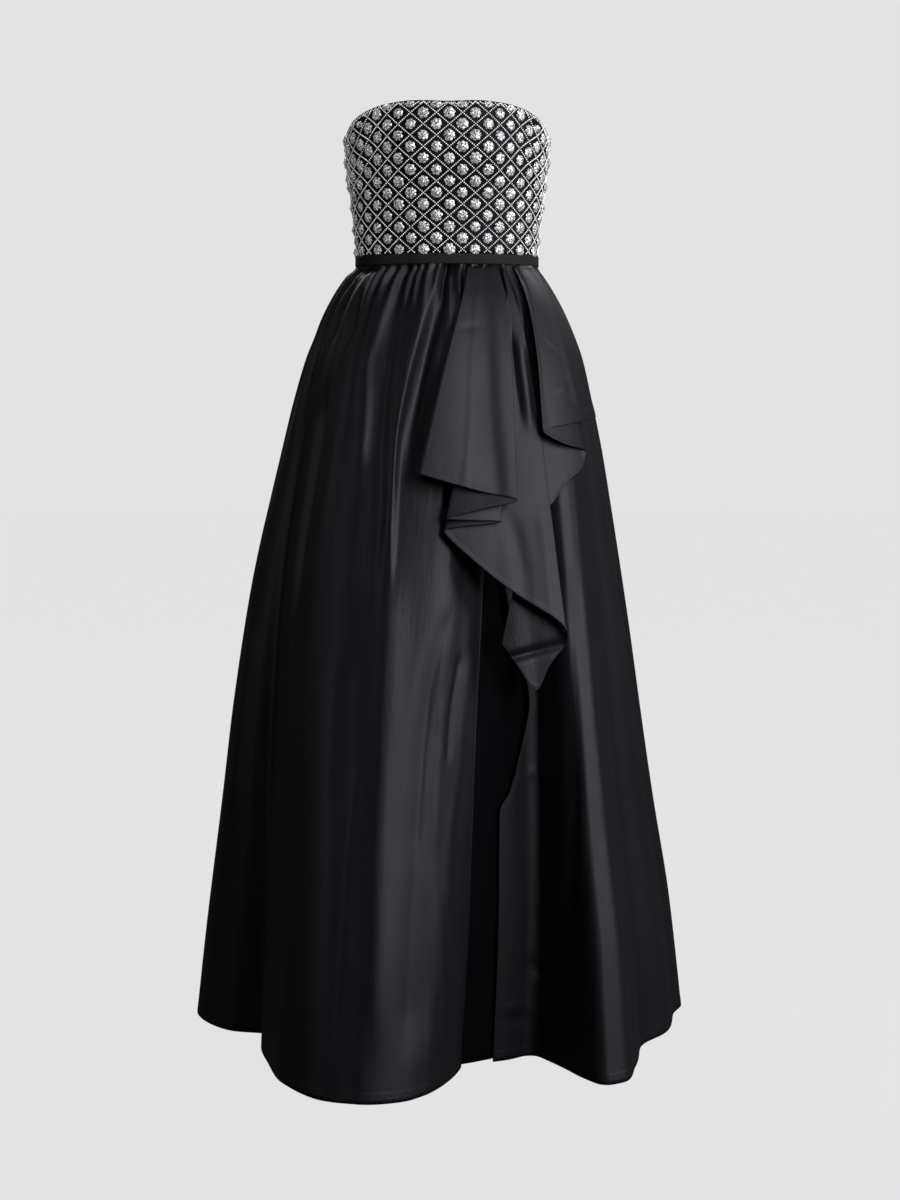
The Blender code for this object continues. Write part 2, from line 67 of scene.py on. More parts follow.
# z, half width, depth to the front, depth to the back, centre x
OUTLINE = (
    (0.240, 0.1360, 0.1080, 0.0960, 0.0000),
    (0.212, 0.1375, 0.1110, 0.0960, 0.0000),
    (0.184, 0.1395, 0.1135, 0.0960, 0.0000),
    (0.157, 0.1410, 0.1140, 0.0955, 0.0000),
    (0.129, 0.1390, 0.1120, 0.0940, 0.0000),
    (0.102, 0.1355, 0.1080, 0.0920, 0.0000),
    (0.074, 0.1320, 0.1035, 0.0905, 0.0000),
    (0.047, 0.1290, 0.0995, 0.0890, 0.0000),
    (0.007, 0.1260, 0.0960, 0.0880, 0.0000),
    (-0.007, 0.1265, 0.0960, 0.0885, 0.0000),
    (-0.022, 0.1385, 0.1040, 0.1010, -0.0030),
    (-0.049, 0.1560, 0.1180, 0.1220, -0.0035),
    (-0.077, 0.1705, 0.1290, 0.1390, -0.0035),
    (-0.105, 0.1820, 0.1380, 0.1510, -0.0030),
    (-0.132, 0.1925, 0.1460, 0.1600, -0.0037),
    (-0.188, 0.2080, 0.1600, 0.1750, -0.0056),
    (-0.258, 0.2250, 0.1770, 0.1920, -0.0070),
    (-0.328, 0.2405, 0.1930, 0.2080, -0.0095),
    (-0.398, 0.2555, 0.2080, 0.2230, -0.0118),
    (-0.469, 0.2695, 0.2230, 0.2370, -0.0130),
    (-0.616, 0.2955, 0.2530, 0.2650, -0.0135),
    (-0.766, 0.3215, 0.2830, 0.2920, -0.0115),
    (-0.920, 0.3520, 0.3140, 0.3180, -0.0085),
    (-1.095, 0.3830, 0.3450, 0.3450, -0.0080),
)

# The top edge of the bodice: azimuth from the front, height
NECKLINE = (
    (0, 0.2065),
    (22, 0.2080),
    (40, 0.2055),
    (56, 0.1990),
    (69, 0.1890),
    (78, 0.1770),
    (90, 0.1620),
    (110, 0.1530),
    (150, 0.1500),
    (180, 0.1500),
)
CUP_AZIMUTH, CUP_Z, CUP_DEPTH = 27, 0.148, 9 * MM
CUP_WIDE, CUP_TALL = 17, 0.042

# The bodice's panels by side: name, first and last azimuth
BODICE_PANELS = {0: ("front", -90, 90), -1: ("back_right", -180, -90), 1: ("back_left", 90, 180)}
BODICE_TOP, BODICE_RADIUS = 0.212, 0.13
FRONT_CUT, BACK_CUT, CUT_EASE = 0.205, 0.160, 1.05

# Sections of the binding and the waistband in mm: out from the bodice, and up from the neckline or the waist
BINDING_SECTION = ((-1.9, -5.0), (-1.9, -0.6), (-1.3, 0.35), (-0.4, 0.35), (0.35, -0.4), (0.4, -2.2))
RIBBON_SECTION = ((1.0, 6.9), (1.35, 6.2), (1.3, 3.5), (1.3, 0.0), (1.3, -3.5), (1.35, -6.2), (1.0, -6.9))

# How thick each cloth is
BODICE_WALL, RIBBON_WALL, BINDING_WALL = 1.6 * MM, 1.2 * MM, 0.35 * MM
SKIRT_WALL, RUFFLE_WALL, TAPE_WALL = 0.8 * MM, 0.7 * MM, 0.8 * MM

# Large folds: azimuth at the waist, azimuth at the hem, share of the outline reached at the hem
FOLDS = (
    (-180, -180, 0.90),
    (-167, -169, 1.00),
    (-155, -156, 0.80),
    (-142, -143, 1.00),
    (-130, -133, 0.82),
    (-117, -127, 0.99),
    (-105, -122, 0.86),
    (-90, -116, 1.00),
    (-83, -109, 1.01),
    (-76, -91, 0.79),
    (-70, -87, 0.66),
    (-62, -59, 0.75),
    (-50, -41, 0.89),
    (-36, -25, 1.00),
    (-22, -18, 1.00),
    (-6, -9, 0.94),
    (11, -4, 0.85),
    (19, 3, 0.66),
    (33, 9, 0.50),
)
FOLDS_LEFT = (
    (33, 24.8, 0.46),
    (38, 33, 0.462),
    (42, 43, 0.455),
    (46, 48, 0.49),
    (49, 45.8, 0.58),
    (52, 43.5, 0.68),
    (55, 41.3, 0.79),
    (58, 40.5, 0.89),
    (61, 42.2, 0.93),
    (64, 46.2, 0.937),
    (68, 58, 0.843),
    (73, 75.7, 0.762),
    (79, 90.5, 0.847),
    (84, 105, 0.93),
    (88, 113, 1.03),
    (92, 119, 0.99),
    (105, 124, 0.84),
    (118, 130, 0.99),
    (130, 138, 0.81),
    (143, 147, 1.00),
    (156, 158, 0.80),
    (168, 170, 1.00),
    (180, 180, 0.90),
)
FOLD_GROWTH = 0.80
SWING_GROWTH = 0.75

# Depth of the gathers, from the waist seam (drop 0) to the hem (drop 1)
GATHER_DEPTH = (
    (0.00, 4.5 * MM),
    (0.03, 8.0 * MM),
    (0.08, 9.5 * MM),
    (0.15, 8.0 * MM),
    (0.25, 5.0 * MM),
    (0.38, 2.0 * MM),
    (0.55, 0.0),
    (1.00, 0.0),
)
# No two gathers are alike: how far one wanders in degrees, then mean and spread of depth and of length
GATHER_WANDERS = 1.5
GATHER_DEPTHS, GATHER_LENGTHS = (0.78, 0.22), (0.80, 0.35)

# The slit's left edge is caught back below the ruffle: height, azimuths that it is pulled back
SLIT_PULL = (
    (-0.40, 0.0),
    (-0.50, 5.0),
    (-0.60, 9.5),
    (-0.66, 7.0),
    (-0.72, 4.0),
    (-0.745, 0.6),
    (-1.09, 0.0),
)
PULL_PER_GATHER = 1.92

# The underlay behind the slit. Its width and how far it is tucked behind the slit's edge are azimuths
UNDERLAY_TOP = -0.40
UNDERLAY_BEHIND, UNDERLAY_SHORTER, UNDERLAY_CLEAR = 6 * MM, 2 * MM, 1.5 * MM
UNDERLAY_ACROSS, UNDERLAY_TUCKED = 15, 3.0
UNDERLAY_SHARE = 0.42

# Bead lattice: half a diamond each way
LATTICE_ACROSS = 17.5 * MM
LATTICE_UP = 14.95 * MM
FIRST_ROSETTES = 12.4 * MM
LATTICE_SHIFT = 3.5 * MM
BEADS_PER_SIDE = 8
EDGE_BEADS_APART = 2.4 * MM
EDGE_BEADS_DOWN, EDGE_BEADS_STAGGER = 1.6, 1.2
LATTICE_COLUMNS, LATTICE_ROWS = 12, 13
# Above the bust the lattice sinks towards the side seams: how far, from where, and over what stretch
DROOP = 13 * MM
DROOP_FROM, DROOP_OVER = 0.105, 0.055
DROOP_FROM_Z, DROOP_OVER_Z = 0.085, 0.075
# Least distances from the side seam, the neckline and the waistband
ROSETTE_MARGINS = (3.0 * MM, 1.5 * MM, 0.5 * MM)
BEAD_MARGINS = (1.5 * MM, 1.0 * MM, 1.0 * MM)
# A rosette that the neckline would cut is squeezed and moved this far below it
CUT_BELOW, CUT_ABOVE, CUT_MOVED, CUT_SQUEEZE = 6 * MM, 5 * MM, 4.5 * MM, 0.62
# A rosette's rings of sequins: how many, distance from the middle, radius, tilt in degrees, lift
SEQUIN_RINGS = ((7, 5.4 * MM, 2.9 * MM, 26, 1.1 * MM), (4, 2.5 * MM, 2.3 * MM, 20, 2.2 * MM))
SEQUIN_FLATNESS, SEQUIN_TILT_VARIES = 0.34, 9
MIDDLE_BEAD, MIDDLE_BEAD_LIFT = 1.3 * MM, 3.0 * MM
BEAD_LIFT, ROSETTE_LIFT = 0.45 * MM, 0.2 * MM
SIZE_VARIES, TURN_EACH = 0.06, 2.4

# Zip: from top to bottom, half the tape's width, its gap behind the seam, and how far off the seam,
# in gathers, it is stitched
ZIP_TOP, ZIP_BOTTOM = 0.146, -0.200
TAPE_HALF, TAPE_CLEAR = 10 * MM, 2.6 * MM
STITCHES_FROM_SEAM = 0.5
STITCH_RADIUS, STITCH_STRETCH, STITCH_PROUD = 0.32 * MM, 3.2, 0.15 * MM
# Half of the tape's section in mm: across from the middle line, and proud of the tape
TAPE_SECTION = ((0.9, -0.25), (1.2, 0), (5, 0), (8.6, 0), (9.2, 0.35), (10, 0.2))
TOOTH_WIDE, TOOTH_DEEP, TOOTH_SHARE = 2.2 * MM, 0.6 * MM, 0.62
TOOTH_ASIDE, TOOTH_PROUD, TEETH_FROM_END = 0.6 * MM, 0.5 * MM, 2 * MM

# Ruffles: azimuth, height and stand-off in mm where sewn, then the same at the free hem
SEWN = SKIRT_TOP - 0.45 * MM
RUFFLE_FRONT = (
    (16.5, SEWN, 1.2, -7.9, -0.286, 30),
    (28.1, SEWN, 1.5, 10.2, -0.305, 24),
    (39.1, SEWN, 1.3, 26.7, -0.321, 27),
    (37.6, -0.030, 4.2, 15.9, -0.332, 18),
    (33.1, -0.036, 4.2, 2.5, -0.345, 13),
    (36.0, -0.048, 3.0, 22.5, -0.350, 10),
    (35.3, -0.052, 2.6, 2.0, -0.362, 4),
    (39.7, -0.050, 1.8, 18.9, -0.420, 1),
    (43.3, SEWN, 1.2, 40.5, -0.489, 16),
    (31.0, -0.240, -5.0, 42.8, -0.511, 2),
    (30.0, -0.320, -7.0, 38.6, -0.543, -13),
    (29.0, -0.400, -10.0, 34.6, -0.574, -23),
    (28.5, -0.430, -12.0, 29.2, -0.543, -25),
    (28.0, -0.450, -14.0, 24.2, -0.511, -28),
)
RUFFLE_SIDE = (
    (70.2, SEWN, 1.1, 75.4, -0.214, 8),
    (59.3, SEWN, 1.4, 53.7, -0.222, 18),
    (52.1, SEWN, 1.2, 39.7, -0.231, 24),
    (52.9, -0.028, 4.4, 49.7, -0.249, 18),
    (55.0, -0.034, 4.0, 61.6, -0.260, 11),
    (54.2, -0.042, 3.2, 60.3, -0.278, 8),
    (53.4, -0.044, 2.8, 50.1, -0.302, 8),
    (52.9, -0.044, 2.4, 42.8, -0.328, 9),
    (51.5, -0.044, 2.2, 39.6, -0.335, 10),
)

# The turned hems: how much thicker, from what share of the length down, and their rows
HEM_THICKER = 0.22 * MM
HEM_FROM, HEM_ROWS = 0.987, (0.9862, 0.9874, 0.989, 0.9945, 1.0)
RUFFLE_HEM_FROM, RUFFLE_HEM_ROWS = 0.9835, (0.982, 0.985, 0.988, 0.994, 1.0)
ALLOWANCE_TOP, ALLOWANCE_BEHIND = -3.0 * MM, 1.4 * MM

# How finely the cloth is made, and how finely it is searched for the places traced in the photo
COLUMNS_PER_GATHER, SKIRT_ROWS, ROWS_CROWD_UP = 16, 170, 1.25
RUFFLE_STEPS, RUFFLE_ROWS, RUFFLE_LAST_ROW = 16, 60, 0.972
SEARCHED_PER_GATHER, SEARCHED_ROWS = 20, 900
SEARCHED_PER_TURN, SEARCHED_RUFFLE_ROWS = 60, 240


class Curve:
    """A smooth curve through one column of a table, by its first column, that never overshoots."""

    def __init__(self, rows, column=1):
        rows = np.array(sorted(rows), float)
        self.xs, self.ys = rows[:, 0], rows[:, column]
        self.steps = np.diff(self.xs)
        slopes = np.diff(self.ys) / self.steps
        before, after = slopes[:-1], slopes[1:]
        same_way = before * after > 0
        sums = np.where(same_way, before + after, 1.0)
        inner = np.where(same_way, 2 * before * after / sums, 0.0)
        self.tangents = np.concatenate([slopes[:1], inner, slopes[-1:]])

    def __call__(self, x):
        x = np.clip(np.asarray(x, float), self.xs[0], self.xs[-1])
        i = np.clip(np.searchsorted(self.xs, x, side="right") - 1, 0, len(self.steps) - 1)
        step = self.steps[i]
        t = (x - self.xs[i]) / step
        start = (1 + 2 * t) * (1 - t) ** 2 * self.ys[i] + t * (1 - t) ** 2 * step * self.tangents[i]
        end = t * t * (3 - 2 * t) * self.ys[i + 1] + t * t * (t - 1) * step * self.tangents[i + 1]
        return start + end


# Soft ridges and valleys, traced in the photo: height in mm, width in mm to the left and to the right,
# the share of the sheet's length over which each fades in and out, and its path in the photo's pixels
CREASES_RIGHT = (
    (-6, 8, 3.5, 0, 0.05, ((352, 278), (342, 306), (334, 330), (327, 352))),
    (-14, 15, 5, 0.08, 0.16, ((330, 372), (315, 455), (304, 520), (298, 565), (284, 690))),
    (-5, 8, 4, 0, 0.05, ((363, 274), (354, 320), (340, 355), (334, 378))),
    (-2.5, 5, 5, 0, 0.03, ((389, 272), (380, 285), (372, 300), (363, 322), (357, 340))),
    (5, 16, 6, 0, 0.05, ((394, 272), (378, 320), (367, 360), (364, 400), (360, 455), (355, 485))),
    (-8, 18, 10, 0, 0.12, ((400, 272), (390, 330), (383, 390), (379, 450), (376, 520), (365, 640))),
    (9, 15, 4, 0, 0.1, ((436, 272), (430, 294), (415, 345), (405, 390), (395, 441), (391, 512), (389, 600))),
    (6, 10, 16, 0.1, 0.12, ((390, 550), (383, 720), (377, 850), (376, 980), (380, 1075))),
    (-9, 12, 34, 0.12, 0.08, ((438, 630), (429, 740), (421, 850), (414, 950), (410, 1070))),
    (-10, 8, 8, 0, 0.14, ((443, 272), (436, 310), (426, 350), (417, 390), (409, 440), (403, 500))),
    (-3, 3, 3, 0, 0.012, ((451, 272), (454, 282), (459, 292), (462, 300))),
    (3, 5, 14, 0.06, 0, ((360, 740), (349, 850), (342, 950), (335, 1060))),
    (-4, 13, 11, 0.05, 0.05, ((350, 640), (345, 700), (342, 760), (335, 830))),
    (-3, 13, 7, 0.04, 0.05, ((455, 600), (430, 700), (421, 780), (415, 870))),
    (1.5, 6, 7, 0.03, 0.04, ((446, 690), (443, 740), (440, 790), (438, 860))),
    (-3.5, 5, 5, 0.02, 0.03, ((463, 650), (455, 710), (450, 770))),
    (2, 8, 9, 0.04, 0.05, ((470, 650), (460, 760), (450, 860), (448, 920))),
    (-2, 9, 8, 0.05, 0.04, ((428, 880), (430, 940), (434, 1010))),
    (1.5, 7, 7, 0.05, 0.03, ((440, 880), (443, 950), (446, 1020))),
    (-1.5, 6, 6, 0.02, 0.02, ((447, 980), (441, 1010), (442, 1038))),
    (4, 9, 16, 0.07, 0.07, ((252, 600), (247, 660), (243, 700), (237, 760), (230, 830))),
)
CREASES_LEFT = (
    (-5, 11, 11, 0.08, 0.08, ((572, 560), (574, 700), (574, 800), (572, 900), (575, 990))),
    (-4, 6, 11, 0.02, 0.02, ((527, 955), (545, 985), (570, 1015), (595, 1045))),
)
CREASES_RUFFLE_FRONT = (
    (-4.5, 24, 10, 0, 0, ((484, 275), (487, 340), (492, 420), (498, 486))),
    (1.0, 3, 3, 0.05, 0, ((478, 285), (474, 350), (470, 430), (466, 480))),
    (-5, 4, 4, 0.08, 0.1, ((511, 325), (514, 355), (519, 395), (525, 435))),
    (3, 5, 5, 0.08, 0.1, ((518, 325), (522, 355), (527, 395), (533, 435))),
    (-4, 4, 6, 0.08, 0.1, ((529, 330), (533, 360), (538, 395), (543, 440))),
    (3, 10, 4, 0.1, 0, ((543, 500), (550, 560), (556, 615))),
    (-3, 10, 10, 0.1, 0, ((512, 505), (518, 545), (524, 575))),
)
CREASES_RUFFLE_SIDE = (
    (1.6, 3, 9, 0, 0, ((524, 280), (534, 335), (543, 390), (550, 425))),
    (-1.5, 8, 6, 0, 0.1, ((540, 277), (556, 320), (570, 370), (580, 405))),
)
# Short wrinkles: height, half length and half width in mm, slant in degrees, place in the photo
WRINKLES_LEFT = (
    (2.5, 22, 5, -12, (518, 1012)),
    (-2.5, 20, 5, -14, (515, 1022)),
    (1.5, 14, 4, 25, (532, 775)),
)
WRINKLES_RUFFLE_FRONT = (
    (-1.2, 14, 4, 6, (470, 326)),
    (7, 34, 8, -30, (522, 656)),
)
WRINKLES_RUFFLE_SIDE = (
    (1.3, 14, 4, 30, (550, 345)),
    (-1.4, 13, 5, -20, (563, 388)),
    (1.0, 10, 4, 10, (572, 402)),
)
# How much of each gather carries on below the waist: gather, share
GATHERS_SHOWN = ((0, 1), (12.5, 1), (14.5, 0.12), (25.5, 0.08), (27, 0.08), (31, 0.4), (33, 1), (44, 1))
GATHERS_FADE_BY = 0.07
# Creases are made this much wider and lower than they are listed
CREASE_WIDER, CREASE_LOWER = 1.25, 0.8

# The camera, as solved from the photo of 900 by 1200 pixels
CAMERA_AT = (0.0042, -3.2, -0.1639)
CAMERA_DOWN = 5.5
PHOTO_MIDDLE = (450, 600)
PHOTO_FOCAL = 2280
SENSOR, SIGHT = 36, 60
# Layers of cloth that are seen within this many pixels of a traced place are told apart by their distance
TRACED_WITHIN = 1.2

# Each light's name, place, width, height and power. They all point at the middle of the gown
SOFTBOXES = (
    ("key_right", (2.0, -2.9, 0.9), 0.8, 2.4, 122),
    ("side_right", (3.4, -1.0, 0.6), 0.8, 2.4, 84),
    ("side_left", (-3.3, -0.9, 0.4), 0.8, 2.4, 13),
    ("front_top", (0.2, -2.6, 2.6), 1.4, 0.8, 18),
    ("back_left", (-1.3, 2.5, 2.3), 1.2, 1.2, 70),
    ("back_right", (1.6, 2.2, 2.2), 1.2, 1.2, 45),
)
GOWN_MIDDLE = (0, 0, -0.35)
STAGE_RADIUS = 14


HALF_WIDTH, FRONT_DEPTH, BACK_DEPTH, CENTRE_X = (Curve(OUTLINE, column) for column in (1, 2, 3, 4))
NECKLINE_Z = Curve(NECKLINE)
FOLD_AZIMUTH, FOLD_SHARE = Curve(FOLDS, 1), Curve(FOLDS, 2)
LEFT_AZIMUTH, LEFT_SHARE = Curve(FOLDS_LEFT, 1), Curve(FOLDS_LEFT, 2)
GATHER_DIP = Curve(GATHER_DEPTH)
PULLED_BACK = Curve(SLIT_PULL)
GATHERS_SHOW = Curve(GATHERS_SHOWN)


def reach(azimuth, z):
    """How far the smooth outline is from the gown's middle line."""
    depth = np.where(np.abs(azimuth) < 90, FRONT_DEPTH(z), BACK_DEPTH(z))
    a = np.radians(azimuth)
    return 1 / np.hypot(np.sin(a) / HALF_WIDTH(z), np.cos(a) / depth)


def place(azimuth, z, distance):
    """Points that lie that far from the middle line."""
    a = np.radians(azimuth)
    z = np.asarray(z, float) + 0 * a
    return np.stack([CENTRE_X(z) + distance * np.sin(a), -distance * np.cos(a), z], -1)


def on_outline(azimuth, z, out=0.0):
    """Points on the smooth outline, or that far outside it."""
    return place(azimuth, z, reach(azimuth, z) + out)


def gather_azimuth(gather):
    """Azimuth at the waist of a place counted in gathers, which are of uneven width."""
    side = gather / GATHERS * 2 * np.pi
    return gather * 360 / GATHERS - 180 + GATHER_WANDERS * np.sin(4 * side) * np.sin(9 * side)


def gather_depth(gather, drop):
    """How far the cloth dips behind the outline between two crests of the gathers."""
    number = np.floor(gather + 0.5) % GATHERS
    uneven = np.where(drop > 0, GATHER_DEPTHS[0] + GATHER_DEPTHS[1] * np.sin(number * 2.4), 1.0)
    length = GATHER_LENGTHS[0] + GATHER_LENGTHS[1] * np.sin(number * 1.7 + 1)
    return GATHER_DIP(drop / length) * uneven * (1 + np.cos(2 * np.pi * gather)) / 2


def skirt_point(azimuth, z, left_of_slit=False):
    """Where the cloth that starts at that azimuth of the waist hangs, on the large folds."""
    drop = (SKIRT_TOP - z) / SKIRT_DROP
    hem_azimuth = (LEFT_AZIMUTH if left_of_slit else FOLD_AZIMUTH)(azimuth)
    hem_share = (LEFT_SHARE if left_of_slit else FOLD_SHARE)(azimuth)
    swung = azimuth + (hem_azimuth - azimuth) * drop**SWING_GROWTH
    share = 1 - (1 - hem_share) * drop**FOLD_GROWTH
    return place(swung, z, reach(swung, z) * share)


def bodice_reach(azimuth, z):
    """The bodice's distance from the middle line, with its two cups."""
    off_cup = (np.abs(azimuth) - CUP_AZIMUTH) / CUP_WIDE
    height = (z - CUP_Z) / CUP_TALL
    return reach(azimuth, z) + CUP_DEPTH * np.exp(-(off_cup**2) - height**2)


class BodiceHalf:
    """The bodice measured along its cloth from the centre front or the centre back."""

    def __init__(self, from_back):
        self.heights = np.linspace(0, BODICE_TOP, 54)
        self.azimuths = np.linspace(180, 90, 181) if from_back else np.linspace(0, 90, 181)
        a, z = np.meshgrid(self.azimuths, self.heights)
        points = place(a, z, bodice_reach(a, z))
        steps = np.linalg.norm(np.diff(points, axis=1), axis=2)
        self.lengths = np.concatenate([np.zeros((len(self.heights), 1)), np.cumsum(steps, 1)], 1)

    def row(self, z):
        at = np.clip(z / BODICE_TOP, 0, 1) * (len(self.heights) - 1)
        low = min(int(at), len(self.heights) - 2)
        return self.lengths[low] + (self.lengths[low + 1] - self.lengths[low]) * (at - low)

    def to_side(self, z):
        return self.row(z)[-1]

    def azimuth(self, length, z):
        return float(np.interp(length, self.row(z), self.azimuths))

    def point(self, length, z, sign=1):
        """The point at that distance round the cloth, and the outward direction there."""
        azimuth = sign * self.azimuth(length, z)

        def at(a, h):
            return Vector(place(a, h, bodice_reach(a, h)))

        along = at(azimuth + 0.5, z) - at(azimuth - 0.5, z)
        up = at(azimuth, z + 1 * MM) - at(azimuth, z - 1 * MM)
        return at(azimuth, z), along.cross(up).normalized()


FRONT_HALF, BACK_HALF = BodiceHalf(False), BodiceHalf(True)


# Making and finishing pieces


def finish_piece(obj, replaced=()):
    """Hides the solids that a piece stands for, and puts the piece on the gown."""
    if replaced:
        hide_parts(*replaced)
    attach(obj, "gown")
    return obj


def add_piece(name, bm, material, smooth=True):
    mesh = bpy.data.meshes.new(name)
    bm.to_mesh(mesh)
    bm.free()
    if smooth:
        mesh.shade_smooth()
    mesh.materials.append(material)
    obj = bpy.data.objects.new(name, mesh)
    bpy.context.scene.collection.objects.link(obj)
    return obj


def cloth_grid(name, points, across, down, material):
    """An open sheet of cloth from a grid of points, rows first from the top.
    Its UV map is the cloth's own width and length in metres."""
    rows, columns = points.shape[0] - 1, points.shape[1] - 1
    bm = bmesh.new()
    bm.loops.layers.uv.new("cloth")
    bmesh.ops.create_grid(bm, x_segments=columns, y_segments=rows, size=0.5, calc_uvs=True)
    obj = add_piece(name, bm, material)
    mesh = obj.data
    upwards = points[::-1]
    mesh.vertices.foreach_set("co", upwards.reshape(-1, 3).astype(np.float32).ravel())
    uv = mesh.uv_layers["cloth"].data
    flat = np.empty(len(uv) * 2, np.float32)
    uv.foreach_get("uv", flat)
    flat = flat.reshape(-1, 2) * (across, down)
    uv.foreach_set("uv", flat.astype(np.float32).ravel())
    mesh.update()
    return obj


def smooth_step(x):
    x = np.clip(x, 0, 1)
    return x * x * (3 - 2 * x)


def in_photo(points):
    """Where points are seen in the photo, in its pixels, and how far off they are."""
    tilt = math.radians(CAMERA_DOWN)
    offset = points - np.array(CAMERA_AT)
    away = offset[..., 1] * math.cos(tilt) - offset[..., 2] * math.sin(tilt)
    upwards = offset[..., 1] * math.sin(tilt) + offset[..., 2] * math.cos(tilt)
    scale = PHOTO_FOCAL / away
    return PHOTO_MIDDLE[0] + offset[..., 0] * scale, PHOTO_MIDDLE[1] - upwards * scale, away


class Tracing:
    """Finds the place on a sheet that is seen at a place in the photo, on its foremost layer."""

    def __init__(self, points, u, v):
        self.u, self.v = u, v
        self.x, self.y, self.away = in_photo(points)

    def find(self, x, y):
        off = np.hypot(self.x - x, self.y - y)
        best = np.argmin(np.where(off < off.min() + TRACED_WITHIN, self.away, np.inf))
        row, column = divmod(int(best), len(self.u))
        return float(self.u[column]), float(self.v[row])

    def creases(self, table):
        for *shape, path in table:
            found = []
            for x, y in path:
                u, v = self.find(x, y)
                if not found or v > found[-1][1] + 1e-3:
                    found.append((u, v))
            if len(found) > 1:
                yield *shape, found

    def wrinkles(self, table):
        for *shape, (x, y) in table:
            yield *shape, self.find(x, y)


def crease_heights(points, u, v, creases):
    """How far soft ridges and valleys stand out of a sheet, along its normals.
    A crease is its height in mm, its width in mm to the left and to the right, the stretch over
    which it fades in and out, and its path as (u, v), u counted across and v down the sheet."""
    steps = np.linalg.norm(np.diff(points, axis=1), axis=2)
    arc = np.concatenate([np.zeros((len(points), 1)), np.cumsum(steps, 1)], 1)
    rows = np.arange(len(points))
    total = np.zeros(arc.shape)
    for height, left, right, fade_in, fade_out, path in creases:
        line = Curve([(down, across) for across, down in path])(v)
        at = np.interp(line, u, np.arange(len(u)))
        low = np.minimum(at.astype(int), len(u) - 2)
        arc_line = arc[rows, low] + (arc[rows, low + 1] - arc[rows, low]) * (at - low)
        beside = arc - arc_line[:, None]
        width = np.where(beside < 0, left, right) * CREASE_WIDER * MM
        shown = np.ones(len(v))
        first, last = path[0][1], path[-1][1]
        if fade_in:
            shown = shown * smooth_step((v - first) / fade_in)
        if fade_out:
            shown = shown * smooth_step((last - v) / fade_out)
        total += height * CREASE_LOWER * MM * np.exp(-((beside / width) ** 2)) * shown[:, None]
    return total


def dent_heights(points, u, v, dents):
    """Short wrinkles: height in mm, half length and half width in mm, slant in degrees, and (u, v)."""
    total = np.zeros(points.shape[:2])
    for height, length, width, slant, (across, down) in dents:
        column = np.interp(across, u, np.arange(len(u)))
        row = np.interp(down, v, np.arange(len(v)))
        centre = points[int(round(row)), int(round(column))]
        beside = points[int(round(row)), min(int(round(column)) + 1, len(u) - 1)]
        way = beside - points[int(round(row)), max(int(round(column)) - 1, 0)]
        way = way / np.linalg.norm(way)
        offset = points - centre
        sideways, upwards = offset @ way, offset[..., 2]
        cos, sin = math.cos(math.radians(slant)), math.sin(math.radians(slant))
        along, over = sideways * cos + upwards * sin, upwards * cos - sideways * sin
        near = np.linalg.norm(offset, axis=2) < 3 * max(length, width) * MM
        total += height * MM * near * np.exp(-((along / length / MM) ** 2) - (over / width / MM) ** 2)
    return total


def sheet_normals(points):
    """A sheet's outward directions, evened out across it so that sharp turns stay whole."""
    across, down = np.gradient(points, axis=1), np.gradient(points, axis=0)
    normals = np.cross(down, across)
    normals /= np.maximum(np.linalg.norm(normals, axis=2), 1e-9)[..., None]
    spread = sum(np.roll(normals, step, axis=1) for step in (-2, -1, 0, 1, 2))
    spread[:, :2], spread[:, -2:] = normals[:, :2], normals[:, -2:]
    return spread / np.maximum(np.linalg.norm(spread, axis=2), 1e-9)[..., None]


def give_wall(obj, thickness, offset=-1):
    """Gives a sheet its thickness: inwards by default, both ways at 0, outwards at 1."""
    solid = obj.modifiers.new("wall", "SOLIDIFY")
    solid.thickness = thickness
    solid.offset = offset
    return obj


# Materials


class Wire:
    """A socket or a number in a shader, with the sums that are used on it."""

    def __init__(self, shader, value):
        self.shader, self.value = shader, value

    def _maths(self, operation, first, second):
        node = self.shader.node("ShaderNodeMath", operation=operation)
        for number, value in enumerate((first, second)):
            self.shader.join(node.inputs[number], value)
        return Wire(self.shader, node.outputs[0])

    def __add__(self, other):
        return self._maths("ADD", self, other)

    def __sub__(self, other):
        return self._maths("SUBTRACT", self, other)

    def __rsub__(self, other):
        return self._maths("SUBTRACT", other, self)

    def __mul__(self, other):
        return self._maths("MULTIPLY", self, other)

    __radd__, __rmul__ = __add__, __mul__

    def limited(self):
        """The value kept between 0 and 1."""
        return self.shader.out("ShaderNodeClamp", {"Value": self})


